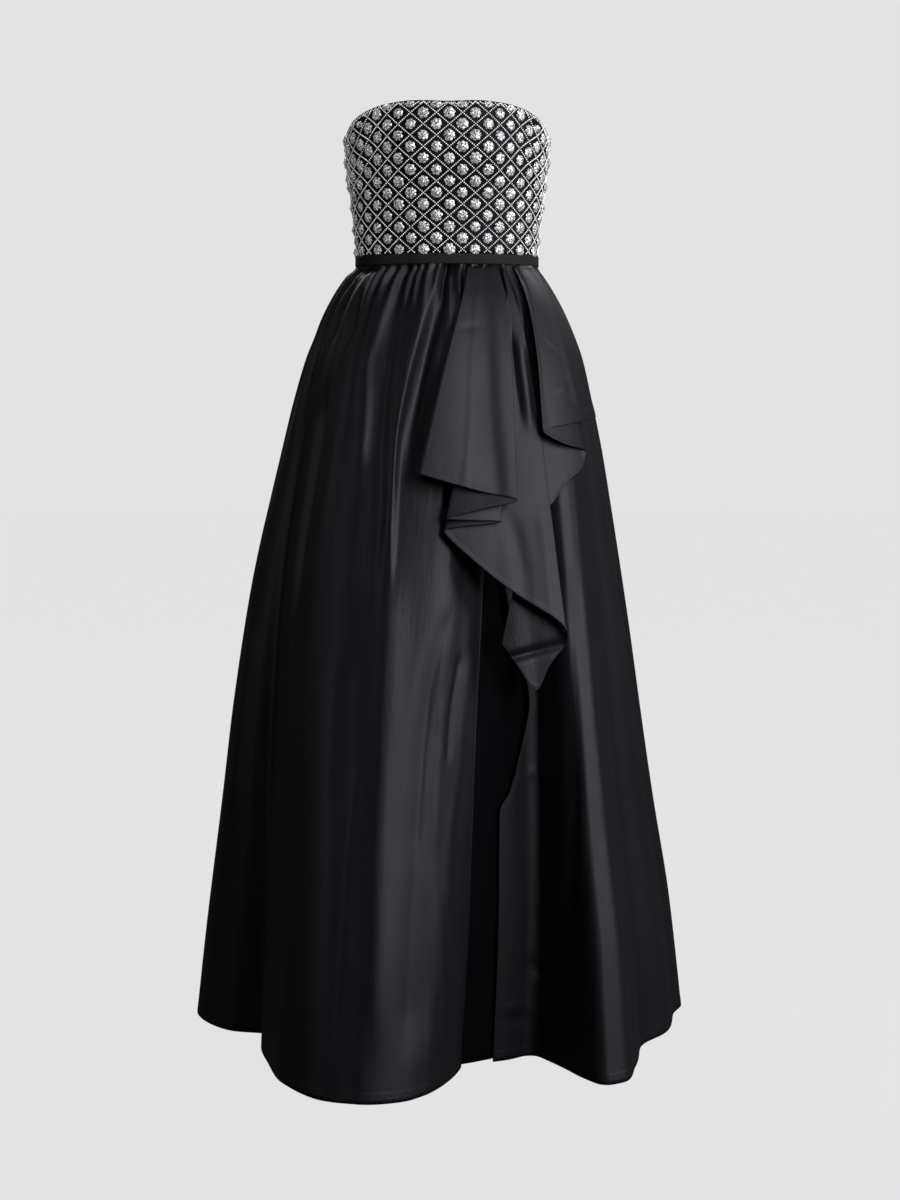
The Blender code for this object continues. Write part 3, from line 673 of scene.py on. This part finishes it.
class Shader:
    """A material's node tree, with one Principled shader."""

    def __init__(self, name, colour, roughness, metallic=0.0, **constants):
        self.material = bpy.data.materials.new(name)
        self.material.use_nodes = True
        self.tree = self.material.node_tree
        self.principled = self.tree.nodes["Principled BSDF"]
        sockets = {"Base Color": (*colour, 1), "Roughness": roughness, "Metallic": metallic, **constants}
        for socket, value in sockets.items():
            self.principled.inputs[socket].default_value = value

    def join(self, socket, value):
        if isinstance(value, Wire):
            value = value.value
        if isinstance(value, bpy.types.NodeSocket):
            self.tree.links.new(value, socket)
        else:
            socket.default_value = value

    def node(self, kind, inputs=(), **settings):
        node = self.tree.nodes.new(kind)
        for key, value in settings.items():
            setattr(node, key, value)
        for key, value in dict(inputs).items():
            self.join(node.inputs[key], value)
        return node

    def out(self, kind, inputs=(), output=0, **settings):
        return Wire(self, self.node(kind, inputs, **settings).outputs[output])

    def coordinates(self, scale, uv=True):
        """The cloth's UV map in metres, or the object's own coordinates, times a scale."""
        source = self.node("ShaderNodeUVMap", uv_map="cloth") if uv else self.node("ShaderNodeTexCoord")
        socket = source.outputs["UV" if uv else "Object"]
        return self.out("ShaderNodeMapping", {"Vector": socket, "Scale": scale})

    def noise(self, scale, uv=True, detail=2.0, roughness=0.5):
        vector = self.coordinates(scale, uv)
        inputs = {"Vector": vector, "Scale": 1.0, "Detail": detail, "Roughness": roughness}
        return self.out("ShaderNodeTexNoise", inputs)

    def ribs(self, along, scale):
        """Fine parallel ribs across the X or the Y direction of the cloth."""
        flow = self.coordinates((1, 0, 0) if along == "X" else (0, 1, 0))
        inputs = {"Vector": flow, "Scale": scale}
        return self.out("ShaderNodeTexWave", inputs, output=1, bands_direction=along)

    def bump(self, height, distance, strength=1.0, normal=None):
        inputs = {"Height": height, "Distance": distance, "Strength": strength}
        if normal:
            inputs["Normal"] = normal
        return self.out("ShaderNodeBump", inputs)

    def set(self, socket, value):
        self.join(self.principled.inputs[socket], value)

    def mix_colours(self, factor, first, second):
        inputs = {0: factor, 6: (*first, 1), 7: (*second, 1)}
        return self.out("ShaderNodeMix", inputs, output=2, data_type="RGBA")


def satin_material(name, colour, roughness, shine=0.27):
    """Heavy black satin: soft sheen, fine ribs across, and the faint unevenness of pressed cloth."""
    shader = Shader(name, colour, roughness)
    shader.principled.inputs["Specular IOR Level"].default_value = shine
    shader.principled.inputs["Specular Tint"].default_value = (0.86, 0.88, 1.0, 1)
    drift = shader.noise((14, 5, 1), detail=3.0)
    shader.set("Roughness", drift * 0.10 + (roughness - 0.05))
    shader.set("Base Color", shader.mix_colours(drift, colour, [c * 1.35 for c in colour]))
    threads = shader.bump(shader.ribs("Y", 350.0), 0.00003, 0.25)
    crumple = shader.noise((28, 9, 1), detail=5.0, roughness=0.62)
    shader.set("Normal", shader.bump(crumple, 0.0014, 0.55, threads))
    return shader.material


def ribbon_material(colour):
    shader = Shader("matt_ribbon", colour, 0.8)
    shader.principled.inputs["Specular IOR Level"].default_value = 0.15
    ribs = shader.ribs("X", 130.0)
    shader.set("Normal", shader.bump(ribs, 0.00018, 0.6))
    # Painted sheen and shade: the colour is lighter on the crest of each rib and darker in its groove,
    # following the same waves as the bump
    shader.set("Base Color", shader.mix_colours(ribs, [c * 0.7 for c in colour], [c * 1.3 for c in colour]))
    return shader.material


def bead_material(colour):
    shader = Shader("silver_beads", colour, 0.22, 0.0)
    speckle = shader.noise((310, 310, 310), uv=False, detail=1.0)
    shader.set("Base Color", shader.mix_colours(speckle, [c * 0.8 for c in colour], colour))
    shader.set("Roughness", speckle * 0.2 + 0.1)
    # Painted glow: the beads give off a faint light of their own colour, so they read bright even where no
    # lamp falls on them
    shader.principled.inputs["Emission Color"].default_value = (*colour, 1)
    shader.principled.inputs["Emission Strength"].default_value = 0.2
    return shader.material


def sequin_material(colour):
    shader = Shader("silver_sequins", colour, 0.3, 0.5)
    speckle = shader.noise((620, 620, 620), uv=False, detail=1.0)
    # Painted glints: at random spots the sequins get their full bright colour and a glow of their own,
    # elsewhere a dark colour, standing in for the sparkle of reflected light
    painted_glint = ((speckle - 0.43) * 5.0).limited()
    shader.set("Base Color", shader.mix_colours(painted_glint, [c * 0.14 for c in colour], colour))
    shader.set("Roughness", speckle * 0.25 + 0.15)
    shader.set("Emission Color", shader.mix_colours(painted_glint, [0.0] * 3, colour))
    shader.principled.inputs["Emission Strength"].default_value = 0.2
    return shader.material


def metal_material(colour):
    shader = Shader("plated_metal", colour, 0.3, 1.0)
    scratches = shader.noise((900, 900, 120), uv=False)
    shader.set("Roughness", scratches * 0.2 + 0.2)
    shader.set("Normal", shader.bump(scratches, 0.00002, 0.4))
    return shader.material


MATERIALS = {}


def material(name):
    """A cloth or finish by its short name, made once from the panel's colours."""
    if name not in MATERIALS:
        look = bpy.context.scene.gown_looks
        makers = {
            "satin": lambda: satin_material("black_satin", look.satin_colour, look.satin_roughness),
            "bodice_cloth": lambda: satin_material("bodice_satin", look.lining_colour, 0.65, 0.12),
            "lining": lambda: satin_material("black_lining", look.lining_colour, 0.85, 0.04),
            "ribbon": lambda: ribbon_material(look.ribbon_colour),
            "beads": lambda: bead_material(look.bead_colour),
            "sequins": lambda: sequin_material(look.sequin_colour),
            "metal": lambda: metal_material(look.metal_colour),
        }
        MATERIALS[name] = makers[name]()
    return MATERIALS[name]


# The bodice


def bodice_shell(side):
    """One bodice panel: its smooth satin ground. Side 0 is the front, -1 and 1 the back halves."""
    columns, rows = (48, 40) if side else (96, 40)
    word, first, last = BODICE_PANELS[side]
    half = BACK_HALF if side else FRONT_HALF
    points = np.zeros((rows + 1, columns + 1, 3))
    bottom = BAND_HALF_HEIGHT + SEAM_GAP
    gap = math.degrees(STITCHED_GAP / 2 / BODICE_RADIUS)
    for column in range(columns + 1):
        azimuth = first + (last - first) * (column / columns)
        azimuth = min(max(azimuth, first + gap), last - gap)
        top = float(NECKLINE_Z(abs(azimuth)))
        heights = np.linspace(top, bottom, rows + 1)
        points[:, column] = place(azimuth, heights, bodice_reach(azimuth, heights))
    width = half.to_side(0.1) * (1 if side else 2)
    shell = cloth_grid(f"bodice_{word}_satin", points, width, 0.2, material("bodice_cloth"))
    give_wall(shell, BODICE_WALL)
    flat = (width * CUT_EASE, BACK_CUT if side else FRONT_CUT)
    return finish_piece(shell, replaced=[f"bodice_{word}"])


def lattice_droop(length, z):
    """The lattice sinks towards the side seams above the bust, where the cloth is drawn round the arm."""
    beside = smooth_step((length - DROOP_FROM) / DROOP_OVER)
    return DROOP * beside * smooth_step((z - DROOP_FROM_Z) / DROOP_OVER_Z)


def inside_panel(half, length, z, from_back, side_margin, top_margin, bottom_margin):
    if length > half.to_side(z) - side_margin:
        return False
    if from_back and length < side_margin + 1.0 * MM:
        return False
    top = float(NECKLINE_Z(abs(half.azimuth(length, z))))
    return BAND_HALF_HEIGHT + bottom_margin < z < top - top_margin


def lattice_sites(side):
    """Where a panel's beads and rosettes are: distance round the cloth, height, and which side.
    The front's lattice is centred a little to the wearer's left, the back's starts at the zip."""
    from_back = side != 0
    half = BACK_HALF if from_back else FRONT_HALF
    shift = 0 if from_back else LATTICE_SHIFT
    beads, rosettes = {}, []
    for i in range(0 if from_back else -LATTICE_COLUMNS, LATTICE_COLUMNS + 2):
        for j in range(-2, LATTICE_ROWS + 4):
            across, up = i * LATTICE_ACROSS + shift, FIRST_ROSETTES + j * LATTICE_UP
            if (i + j) % 2 == 0:
                top = float(NECKLINE_Z(abs(half.azimuth(abs(across), min(up, 0.2)))))
                cut = top - CUT_BELOW < up < top + CUT_ABOVE
                up = top - CUT_MOVED if cut else up
                place_at = settle(half, across, up, side, *ROSETTE_MARGINS)
                if place_at:
                    rosettes.append((*place_at, CUT_SQUEEZE if cut else 1.0))
                continue
            for way in (-1, 1):
                for k in range(BEADS_PER_SIDE):
                    share = k / BEADS_PER_SIDE
                    length, z = across + way * LATTICE_ACROSS * share, up + LATTICE_UP * share
                    if from_back and length < -1e-6:
                        continue
                    place_at = settle(half, length, z, side, *BEAD_MARGINS)
                    if place_at:
                        beads[(round(length / MM, 1), round(z / MM, 1))] = (*place_at, 1.0)
    edge = []
    for number in range(int(half.to_side(0.16) / EDGE_BEADS_APART)):
        length = (number + 0.6) * EDGE_BEADS_APART
        down = (EDGE_BEADS_DOWN + EDGE_BEADS_STAGGER * (number % 3)) * MM
        z = float(NECKLINE_Z(abs(half.azimuth(length, 0.19)))) - down
        edge += [(length, z, sign, 1.1) for sign in ((side,) if side else (-1, 1))]
    return half, list(beads.values()) + edge, rosettes


def settle(half, length, z, side, *margins):
    """A place of the lattice on the cloth, or nothing where it would be off the panel."""
    sign = side if side else (-1 if length < 0 else 1)
    length = abs(length)
    z = z - float(lattice_droop(length, z)) if not side else z
    if inside_panel(half, length, z, side != 0, *margins):
        return length, z, sign
    return None


def scatter(name, template, sites, half, material_name, lift, turn=0.0):
    """Copies of a small mesh set on the bodice's surface, each facing outwards."""
    bm = bmesh.new()
    for number, (length, z, sign, squeeze) in enumerate(sites):
        point, outward = half.point(length, z, sign)
        facing = outward.to_track_quat("Z", "Y").to_matrix().to_4x4()
        spin = Matrix.Rotation(turn * number * TURN_EACH, 4, "Z")
        size = Matrix.Scale(1 + SIZE_VARIES * math.sin(number * 7.3), 4)
        flat = Matrix.Diagonal((1, squeeze, 1, 1))
        matrix = Matrix.Translation(point + outward * lift) @ facing @ flat @ spin @ size
        template.transform(matrix)
        bm.from_mesh(template)
        template.transform(matrix.inverted())
    return add_piece(name, bm, material(material_name), smooth=not turn)


def bead_template(radius):
    bm = bmesh.new()
    bmesh.ops.create_uvsphere(bm, u_segments=8, v_segments=4, radius=radius)
    mesh = bpy.data.meshes.new("bead")
    bm.to_mesh(mesh)
    bm.free()
    return mesh


def rosette_template():
    """A flower of faceted sequins in two rings, tilted outwards, with a bead in the middle."""
    bm = bmesh.new()
    for petals, out, radius, tilt, lift in SEQUIN_RINGS:
        for petal in range(petals):
            made = bmesh.ops.create_uvsphere(bm, u_segments=6, v_segments=2, radius=radius)["verts"]
            turn = Matrix.Rotation(math.tau * (petal + 0.3 * petals) / petals, 4, "Z")
            leaning = math.radians(tilt + SEQUIN_TILT_VARIES * math.sin(petal * 5.1))
            lean = Matrix.Rotation(leaning, 4, "Y")
            flat = Matrix.Diagonal((1, 1, SEQUIN_FLATNESS, 1))
            matrix = turn @ Matrix.Translation((out, 0, lift)) @ lean @ flat
            bmesh.ops.transform(bm, matrix=matrix, verts=made)
    centre = bmesh.ops.create_uvsphere(bm, u_segments=6, v_segments=4, radius=MIDDLE_BEAD)["verts"]
    bmesh.ops.translate(bm, vec=(0, 0, MIDDLE_BEAD_LIFT), verts=centre)
    mesh = bpy.data.meshes.new("rosette")
    bm.to_mesh(mesh)
    bm.free()
    return mesh


def beadwork(side):
    """One panel's lattice of beads and its sequin rosettes."""
    half, beads, rosettes = lattice_sites(side)
    word = BODICE_PANELS[side][0]
    bead = bead_template(bpy.context.scene.gown_looks.bead_radius)
    rosette = rosette_template()
    made = [
        scatter(f"lattice_beads_{word}", bead, beads, half, "beads", BEAD_LIFT),
        scatter(f"sequin_rosettes_{word}", rosette, rosettes, half, "sequins", ROSETTE_LIFT, 1.0),
    ]
    for obj in made:
        finish_piece(obj)
    bpy.data.meshes.remove(bead)
    bpy.data.meshes.remove(rosette)


def neckline_binding():
    """The narrow satin facing edge that is turned over the top of the bodice."""
    azimuths = np.linspace(-179.8, 179.8, 260)
    tops = NECKLINE_Z(np.abs(azimuths))
    rows = []
    for out, up in BINDING_SECTION:
        z = tops + up * MM
        rows.append(place(azimuths, z, bodice_reach(azimuths, z) + out * MM))
    binding = cloth_grid("neckline_binding", np.stack(rows), 0.86, 0.012, material("bodice_cloth"))
    give_wall(binding, BINDING_WALL, 1)
    return finish_piece(binding)


def ribbon_band():
    """The ribbed ribbon round the waist, with its two rounded edges."""
    azimuths = np.linspace(-179.9, 179.9, 240)
    rows = [place(azimuths, z * MM, reach(azimuths, 0.0) + out * MM) for out, z in RIBBON_SECTION]
    band = cloth_grid("ribbon_waistband", np.stack(rows), 0.71, 0.0145, material("ribbon"))
    give_wall(band, RIBBON_WALL)
    return finish_piece(band, replaced=["waistband"])


# The skirt


def smooth_skirt(first, last, columns, drops):
    """The skirt without its gathers and creases, from the zip to the slit or from the slit to the zip."""
    gathers = np.linspace(first, last, columns + 1)
    g, drop = np.meshgrid(gathers, drops)
    z = SKIRT_TOP - drop * SKIRT_DROP
    azimuth = gather_azimuth(g)
    if first == SLIT:
        pulled = gather_azimuth(SLIT) + PULLED_BACK(z) + PULL_PER_GATHER * (g - SLIT)
        azimuth = np.maximum(azimuth, pulled)
    return gathers, g, drop, skirt_point(azimuth, z, first == SLIT)


def skirt_side(first, last, creases, wrinkles):
    """Half of the skirt as one grid, with its gathers, folds and hem."""
    fine = np.linspace(0, 1, SEARCHED_ROWS)
    gathers, g, drop, smooth = smooth_skirt(first, last, (last - first) * SEARCHED_PER_GATHER, fine)
    tracing = Tracing(smooth, gathers, fine)
    drops = np.append(np.linspace(0, 1, SKIRT_ROWS + 1)[:-2] ** ROWS_CROWD_UP, HEM_ROWS)
    gathers, g, drop, smooth = smooth_skirt(first, last, (last - first) * COLUMNS_PER_GATHER, drops)
    out = crease_heights(smooth, gathers, drops, tracing.creases(creases))
    out += dent_heights(smooth, gathers, drops, tracing.wrinkles(wrinkles))
    lower = smooth_step(drop / GATHERS_FADE_BY)
    out -= gather_depth(g, drop) * (1 - lower + lower * GATHERS_SHOW(g))
    out += HEM_THICKER * (drop > HEM_FROM)
    normals = sheet_normals(smooth)
    normals[:, 0 if first == 0 else -1, 0] = 0  # both halves meet on the middle line behind
    return gathers, smooth + normals * out[..., None]


def seam_allowance(top):
    """The skirt's upper edge, carried up behind the waistband."""
    azimuth = np.degrees(np.arctan2(top[:, 0] - CENTRE_X(0.0), -top[:, 1]))
    return on_outline(azimuth, ALLOWANCE_TOP, -ALLOWANCE_BEHIND)


def skirt_panel(node, side, first, last, flat):
    """One gore, cut out of its half of the skirt between two seams counted in gathers."""
    gathers, points = side
    chosen = (gathers >= first - 1e-6) & (gathers <= last + 1e-6)
    points = points[:, chosen]
    points = np.concatenate([seam_allowance(points[0])[None], points])
    for edge, beside in ((0, 1), (-1, -2)):
        inward = points[:, beside] - points[:, edge]
        points[:, edge] += inward / np.linalg.norm(inward, axis=1)[:, None] * STITCHED_GAP / 2
    panel = cloth_grid(f"{node}_satin", points, *flat, material("satin"))
    give_wall(panel, SKIRT_WALL)
    return finish_piece(panel, replaced=[node])


def slit_underlay():
    """The plain panel behind the slit, from just behind the slit's edge to behind the ruffle."""
    columns, rows = 24, 60
    edge = float(gather_azimuth(np.float64(SLIT)))
    far = edge + UNDERLAY_ACROSS
    heights = np.linspace(UNDERLAY_TOP, HEM_Z + UNDERLAY_SHORTER, rows + 1)
    z, across = np.meshgrid(heights, np.linspace(0, 1, columns + 1), indexing="ij")
    drop = (SKIRT_TOP - z) / SKIRT_DROP
    start = edge + (FOLD_AZIMUTH(edge) - edge) * drop**SWING_GROWTH - UNDERLAY_TUCKED * drop
    end = far + (LEFT_AZIMUTH(far) - far) * drop**SWING_GROWTH
    start_share = 1 - (1 - FOLD_SHARE(edge)) * drop**FOLD_GROWTH
    end_share = 1 - (1 - UNDERLAY_SHARE) * drop**FOLD_GROWTH
    azimuth = start + (end - start) * across
    share = start_share + (end_share - start_share) * across
    # It hangs closer at the slit's edge and is wholly behind after a third of its width
    behind = UNDERLAY_BEHIND * (0.4 + 0.6 * np.minimum(1, across * 3))
    points = place(azimuth, z, reach(azimuth, z) * share - UNDERLAY_CLEAR - behind)
    underlay = cloth_grid("underlay_panel", points, 0.125, 0.70, material("lining"))
    give_wall(underlay, SKIRT_WALL)
    return finish_piece(underlay, replaced=["slit_underlay"])


# The ruffles


def smooth_ruffle(turns, columns, down):
    """A ruffle's sheet without creases, from its sewn edge to its free hem."""
    numbered = [(number, *turn) for number, turn in enumerate(turns)]
    turn = np.linspace(0, len(turns) - 1, columns + 1)
    top_azimuth, top_z, top_out, hem_azimuth, hem_z, hem_out = (
        Curve(numbered, column)(turn)[None, :] for column in range(1, 7)
    )
    down = down[:, None]
    top = on_outline(top_azimuth, top_z, top_out * MM)
    hem = on_outline(hem_azimuth, hem_z, hem_out * MM)
    straight = top + (hem - top) * down[..., None]
    z = straight[..., 2]
    azimuth = np.degrees(np.arctan2(straight[..., 0] - CENTRE_X(z), -straight[..., 1]))
    out = top_out + (hem_out - top_out) * down**0.7
    return turn, on_outline(azimuth, z, out * MM)


def ruffle(node, turns, creases, wrinkles, flat, area):
    """One part of the ruffle, with its creases, wrinkles and hem."""
    fine = np.linspace(0, 1, SEARCHED_RUFFLE_ROWS)
    turn, points = smooth_ruffle(turns, (len(turns) - 1) * SEARCHED_PER_TURN, fine)
    tracing = Tracing(points, turn, fine)
    down = np.append(np.linspace(0, RUFFLE_LAST_ROW, RUFFLE_ROWS), RUFFLE_HEM_ROWS)
    turn, points = smooth_ruffle(turns, (len(turns) - 1) * RUFFLE_STEPS, down)
    out = crease_heights(points, turn, down, tracing.creases(creases))
    out += dent_heights(points, turn, down, tracing.wrinkles(wrinkles))
    out += HEM_THICKER * (down > RUFFLE_HEM_FROM)[:, None]
    points = points + sheet_normals(points) * out[..., None]
    piece = cloth_grid(f"{node}_satin", points, *flat, material("satin"))
    give_wall(piece, RUFFLE_WALL, 0)
    return finish_piece(piece, replaced=[node])


# The zip


def back_surface(z):
    """How far back the gown's own surface is on the middle line behind."""
    bodice = place(179.9, z, bodice_reach(179.9, z))[..., 1]
    low = np.minimum(z, SKIRT_TOP)
    drop = (SKIRT_TOP - low) / SKIRT_DROP
    skirt = [
        skirt_point(gather_azimuth(np.full(1, gather)), low)[..., 1] - gather_depth(np.full(1, gather), drop)
        for gather in (0, 0.25, 0.5, 0.75, 1, 1.25)
    ]
    return np.where(z > 0, bodice, np.min(skirt, axis=0))


def zip_tape():
    """Two tapes that meet on the middle line, behind the seam, with a bound edge each."""
    z = np.linspace(ZIP_TOP, ZIP_BOTTOM, 120)
    deepest = back_surface(z) - TAPE_CLEAR
    deepest = np.minimum(deepest, np.convolve(np.pad(deepest, 6, mode="edge"), np.ones(13) / 13, "valid"))
    half = np.array(TAPE_SECTION) * MM
    across = np.append(-half[::-1, 0], half[:, 0])
    rise = np.append(half[::-1, 1], half[:, 1])
    points = np.stack(np.broadcast_arrays(across[None], (deepest[:, None] - rise), z[:, None]), axis=-1)
    flat = (2 * TAPE_HALF, ZIP_TOP - ZIP_BOTTOM)
    tape = cloth_grid("zip_tape_cloth", points[:, ::-1], *flat, material("lining"))
    give_wall(tape, TAPE_WALL)
    return finish_piece(tape, replaced=["zip_tape"])


def zip_teeth(pitch):
    """Teeth that bite from left and right in turn, on the tape's outer side."""
    bm = bmesh.new()
    count = int((ZIP_TOP - ZIP_BOTTOM - 2 * TEETH_FROM_END) / pitch)
    for number in range(count):
        z = ZIP_TOP - TEETH_FROM_END - number * pitch
        side = 1 if number % 2 else -1
        tooth = bmesh.ops.create_cube(bm, size=1.0)["verts"]
        bmesh.ops.scale(bm, vec=(TOOTH_WIDE, TOOTH_DEEP, TOOTH_SHARE * pitch), verts=tooth)
        y = float(back_surface(np.array([z]))[0]) - TAPE_CLEAR + TOOTH_PROUD
        bmesh.ops.translate(bm, vec=(side * TOOTH_ASIDE, y, z), verts=tooth)
    return finish_piece(add_piece("zip_teeth", bm, material("metal"), smooth=False))


def zip_stitching(pitch):
    """A row of stitches on each side of the back opening."""
    bm = bmesh.new()
    stitch = bead_template(STITCH_RADIUS)
    stitch.transform(Matrix.Diagonal((1, 1, STITCH_STRETCH, 1)))
    for side in (-1, 1):
        for z in np.arange(ZIP_BOTTOM, SKIRT_TOP - 4 * MM, pitch):
            gather = STITCHES_FROM_SEAM if side > 0 else GATHERS - STITCHES_FROM_SEAM
            drop = (SKIRT_TOP - z) / SKIRT_DROP
            point = skirt_point(gather_azimuth(np.array([gather])), np.array([z]), side < 0)[0]
            point[1] -= float(gather_depth(gather, drop)) - STITCH_PROUD
            moved = Matrix.Translation(point)
            stitch.transform(moved)
            bm.from_mesh(stitch)
            stitch.transform(moved.inverted())
    bpy.data.meshes.remove(stitch)
    return finish_piece(add_piece("zip_stitches", bm, material("ribbon")))


# Looks and operators


class GownLooks(bpy.types.PropertyGroup):
    bead_radius: bpy.props.FloatProperty(
        name="Bead radius",
        description="Half a lattice bead's width",
        default=0.92 * MM, min=0, unit="LENGTH",
    )
    tooth_pitch: bpy.props.FloatProperty(
        name="Tooth pitch",
        description="From one tooth of the zip to the next",
        default=2 * MM, min=0, unit="LENGTH",
    )
    stitch_pitch: bpy.props.FloatProperty(
        name="Stitch pitch",
        description="From one stitch beside the zip to the next",
        default=3.2 * MM, min=0, unit="LENGTH",
    )
    satin_colour: bpy.props.FloatVectorProperty(
        name="Satin colour",
        description="Colour of the skirt's cloth",
        subtype="COLOR", default=(0.0032, 0.0032, 0.0042),
    )
    satin_roughness: bpy.props.FloatProperty(
        name="Satin roughness",
        description="How dull the satin is",
        default=0.52, min=0, max=1,
    )
    lining_colour: bpy.props.FloatVectorProperty(
        name="Lining colour",
        description="Colour of the underlay",
        subtype="COLOR", default=(0.001, 0.001, 0.0015),
    )
    ribbon_colour: bpy.props.FloatVectorProperty(
        name="Ribbon colour",
        description="Colour of the waistband",
        subtype="COLOR", default=(0.012, 0.010, 0.011),
    )
    bead_colour: bpy.props.FloatVectorProperty(
        name="Bead colour",
        description="Colour of the lattice beads",
        subtype="COLOR", default=(0.95, 0.95, 0.96),
    )
    sequin_colour: bpy.props.FloatVectorProperty(
        name="Sequin colour",
        description="Colour of the rosettes",
        subtype="COLOR", default=(0.92, 0.92, 0.95),
    )
    metal_colour: bpy.props.FloatVectorProperty(
        name="Metal colour",
        description="Colour of the zip's slider and pull",
        subtype="COLOR", default=(0.14, 0.14, 0.15),
    )


class MakeBodice(bpy.types.Operator):
    """Make the bodice's satin panels, their beadwork and the bound neckline"""

    bl_idname = "gown.make_bodice"
    bl_label = "Bodice"

    def execute(self, context):
        for side in (0, -1, 1):
            bodice_shell(side)
            beadwork(side)
        neckline_binding()
        return {"FINISHED"}


class MakeWaistband(bpy.types.Operator):
    """Make the ribbon waistband"""

    bl_idname = "gown.make_waistband"
    bl_label = "Waistband"

    def execute(self, context):
        ribbon_band()
        return {"FINISHED"}


class MakeSkirt(bpy.types.Operator):
    """Make the four gathered skirt panels and the underlay behind the slit"""

    bl_idname = "gown.make_skirt"
    bl_label = "Skirt"

    def execute(self, context):
        right = skirt_side(0, SLIT, CREASES_RIGHT, ())
        left = skirt_side(SLIT, GATHERS, CREASES_LEFT, WRINKLES_LEFT)
        skirt_panel("skirt_back_right", right, 0, SIDE_RIGHT, (0.62, 1.12))
        skirt_panel("skirt_front_right", right, SIDE_RIGHT, SLIT, (0.86, 1.12))
        skirt_panel("skirt_front_left", left, SLIT, SIDE_LEFT, (0.62, 1.12))
        skirt_panel("skirt_back_left", left, SIDE_LEFT, GATHERS, (0.62, 1.12))
        slit_underlay()
        return {"FINISHED"}


class MakeRuffles(bpy.types.Operator):
    """Make the two parts of the waterfall ruffle"""

    bl_idname = "gown.make_ruffles"
    bl_label = "Ruffles"

    def execute(self, context):
        front = (RUFFLE_FRONT, CREASES_RUFFLE_FRONT, WRINKLES_RUFFLE_FRONT)
        side = (RUFFLE_SIDE, CREASES_RUFFLE_SIDE, WRINKLES_RUFFLE_SIDE)
        ruffle("ruffle_front", *front, (0.75, 0.45), 0.145)
        ruffle("ruffle_side", *side, (0.36, 0.29), 0.047)
        return {"FINISHED"}


class MakeZip(bpy.types.Operator):
    """Make the zip's tape and teeth and its stitching, and finish its slider and pull"""

    bl_idname = "gown.make_zip"
    bl_label = "Zip"

    def execute(self, context):
        sizes = context.scene.gown_looks
        zip_tape()
        zip_teeth(sizes.tooth_pitch)
        zip_stitching(sizes.stitch_pitch)
        for node in ("zip_slider", "zip_pull"):
            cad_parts[node].material_slots[0].material = material("metal")
        return {"FINISHED"}


def stage_material(name, base, glow):
    """A pale studio surface that is lit mostly by itself, so that it stays even."""
    shader = Shader(name, (base, base, base), 1.0)
    shader.principled.inputs["Specular IOR Level"].default_value = 0.0
    shader.principled.inputs["Emission Color"].default_value = (1, 1, 1, 1)
    shader.principled.inputs["Emission Strength"].default_value = glow
    return shader.material


def set_stage(obj):
    """Only the camera sees the stage, so that the dark satin doesn't mirror it."""
    obj.visible_diffuse = False
    obj.visible_glossy = False
    obj.visible_transmission = False
    obj.visible_shadow = False


def softbox(name, place_at, width, height, power):
    light = bpy.data.lights.new(name, "AREA")
    light.shape = "RECTANGLE"
    light.size, light.size_y = width, height
    light.energy = power
    obj = bpy.data.objects.new(name, light)
    obj.location = place_at
    towards = Vector(GOWN_MIDDLE) - Vector(place_at)
    obj.rotation_euler = towards.to_track_quat("-Z", "Y").to_euler()
    bpy.context.scene.collection.objects.link(obj)


class MakeStage(bpy.types.Operator):
    """Make the floor, the backdrop, the lights and the camera"""

    bl_idname = "gown.make_stage"
    bl_label = "Stage"

    def execute(self, context):
        scene = context.scene
        floor = bmesh.new()
        bmesh.ops.create_circle(floor, cap_ends=True, segments=96, radius=STAGE_RADIUS)
        bmesh.ops.translate(floor, vec=(0, 0, HEM_Z - 2 * MM), verts=floor.verts)
        set_stage(add_piece("floor", floor, stage_material("pale_floor", 0.012, 0.762), smooth=False))
        dome = bmesh.new()
        bmesh.ops.create_uvsphere(dome, u_segments=64, v_segments=32, radius=STAGE_RADIUS)
        bmesh.ops.reverse_faces(dome, faces=dome.faces)
        set_stage(add_piece("backdrop", dome, stage_material("pale_backdrop", 0.0, 0.767)))
        world = bpy.data.worlds.new("studio")
        world.use_nodes = True
        background = world.node_tree.nodes["Background"]
        background.inputs["Color"].default_value = (0.77, 0.77, 0.77, 1)
        background.inputs["Strength"].default_value = 0.03
        scene.world = world
        for light in SOFTBOXES:
            softbox(*light)
        camera = bpy.data.cameras.new("camera")
        camera.sensor_width, camera.lens = SENSOR, SENSOR * PHOTO_FOCAL / (2 * PHOTO_MIDDLE[1])
        camera.clip_end = SIGHT
        eye = bpy.data.objects.new("camera", camera)
        eye.location = CAMERA_AT
        eye.rotation_euler = (math.radians(90 - CAMERA_DOWN), 0, 0)
        scene.collection.objects.link(eye)
        scene.camera = eye
        scene.view_settings.view_transform = "Standard"
        return {"FINISHED"}


class GownPanel(bpy.types.Panel):
    """Lists the steps that make the gown"""

    bl_idname = "VIEW3D_PT_gown"
    bl_label = "Gown"
    bl_space_type = "VIEW_3D"
    bl_region_type = "UI"
    bl_category = "Gown"

    def draw(self, context):
        looks = context.scene.gown_looks
        for name in looks.bl_rna.properties.keys():
            if name not in ("rna_type", "name"):
                self.layout.prop(looks, name)
        for step in STEPS:
            self.layout.operator(step.bl_idname)


STEPS = (MakeBodice, MakeWaistband, MakeSkirt, MakeRuffles, MakeZip, MakeStage)
CLASSES = (GownLooks, *STEPS, GownPanel)


def register():
    for cls in CLASSES:
        bpy.utils.register_class(cls)
    bpy.types.Scene.gown_looks = bpy.props.PointerProperty(type=GownLooks)


def unregister():
    del bpy.types.Scene.gown_looks
    for cls in reversed(CLASSES):
        bpy.utils.unregister_class(cls)


def main():
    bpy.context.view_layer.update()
    register()
    bpy.ops.gown.make_bodice()
    bpy.ops.gown.make_waistband()
    bpy.ops.gown.make_skirt()
    bpy.ops.gown.make_ruffles()
    bpy.ops.gown.make_zip()
    bpy.ops.gown.make_stage()


if __name__ == "__main__":
    main()
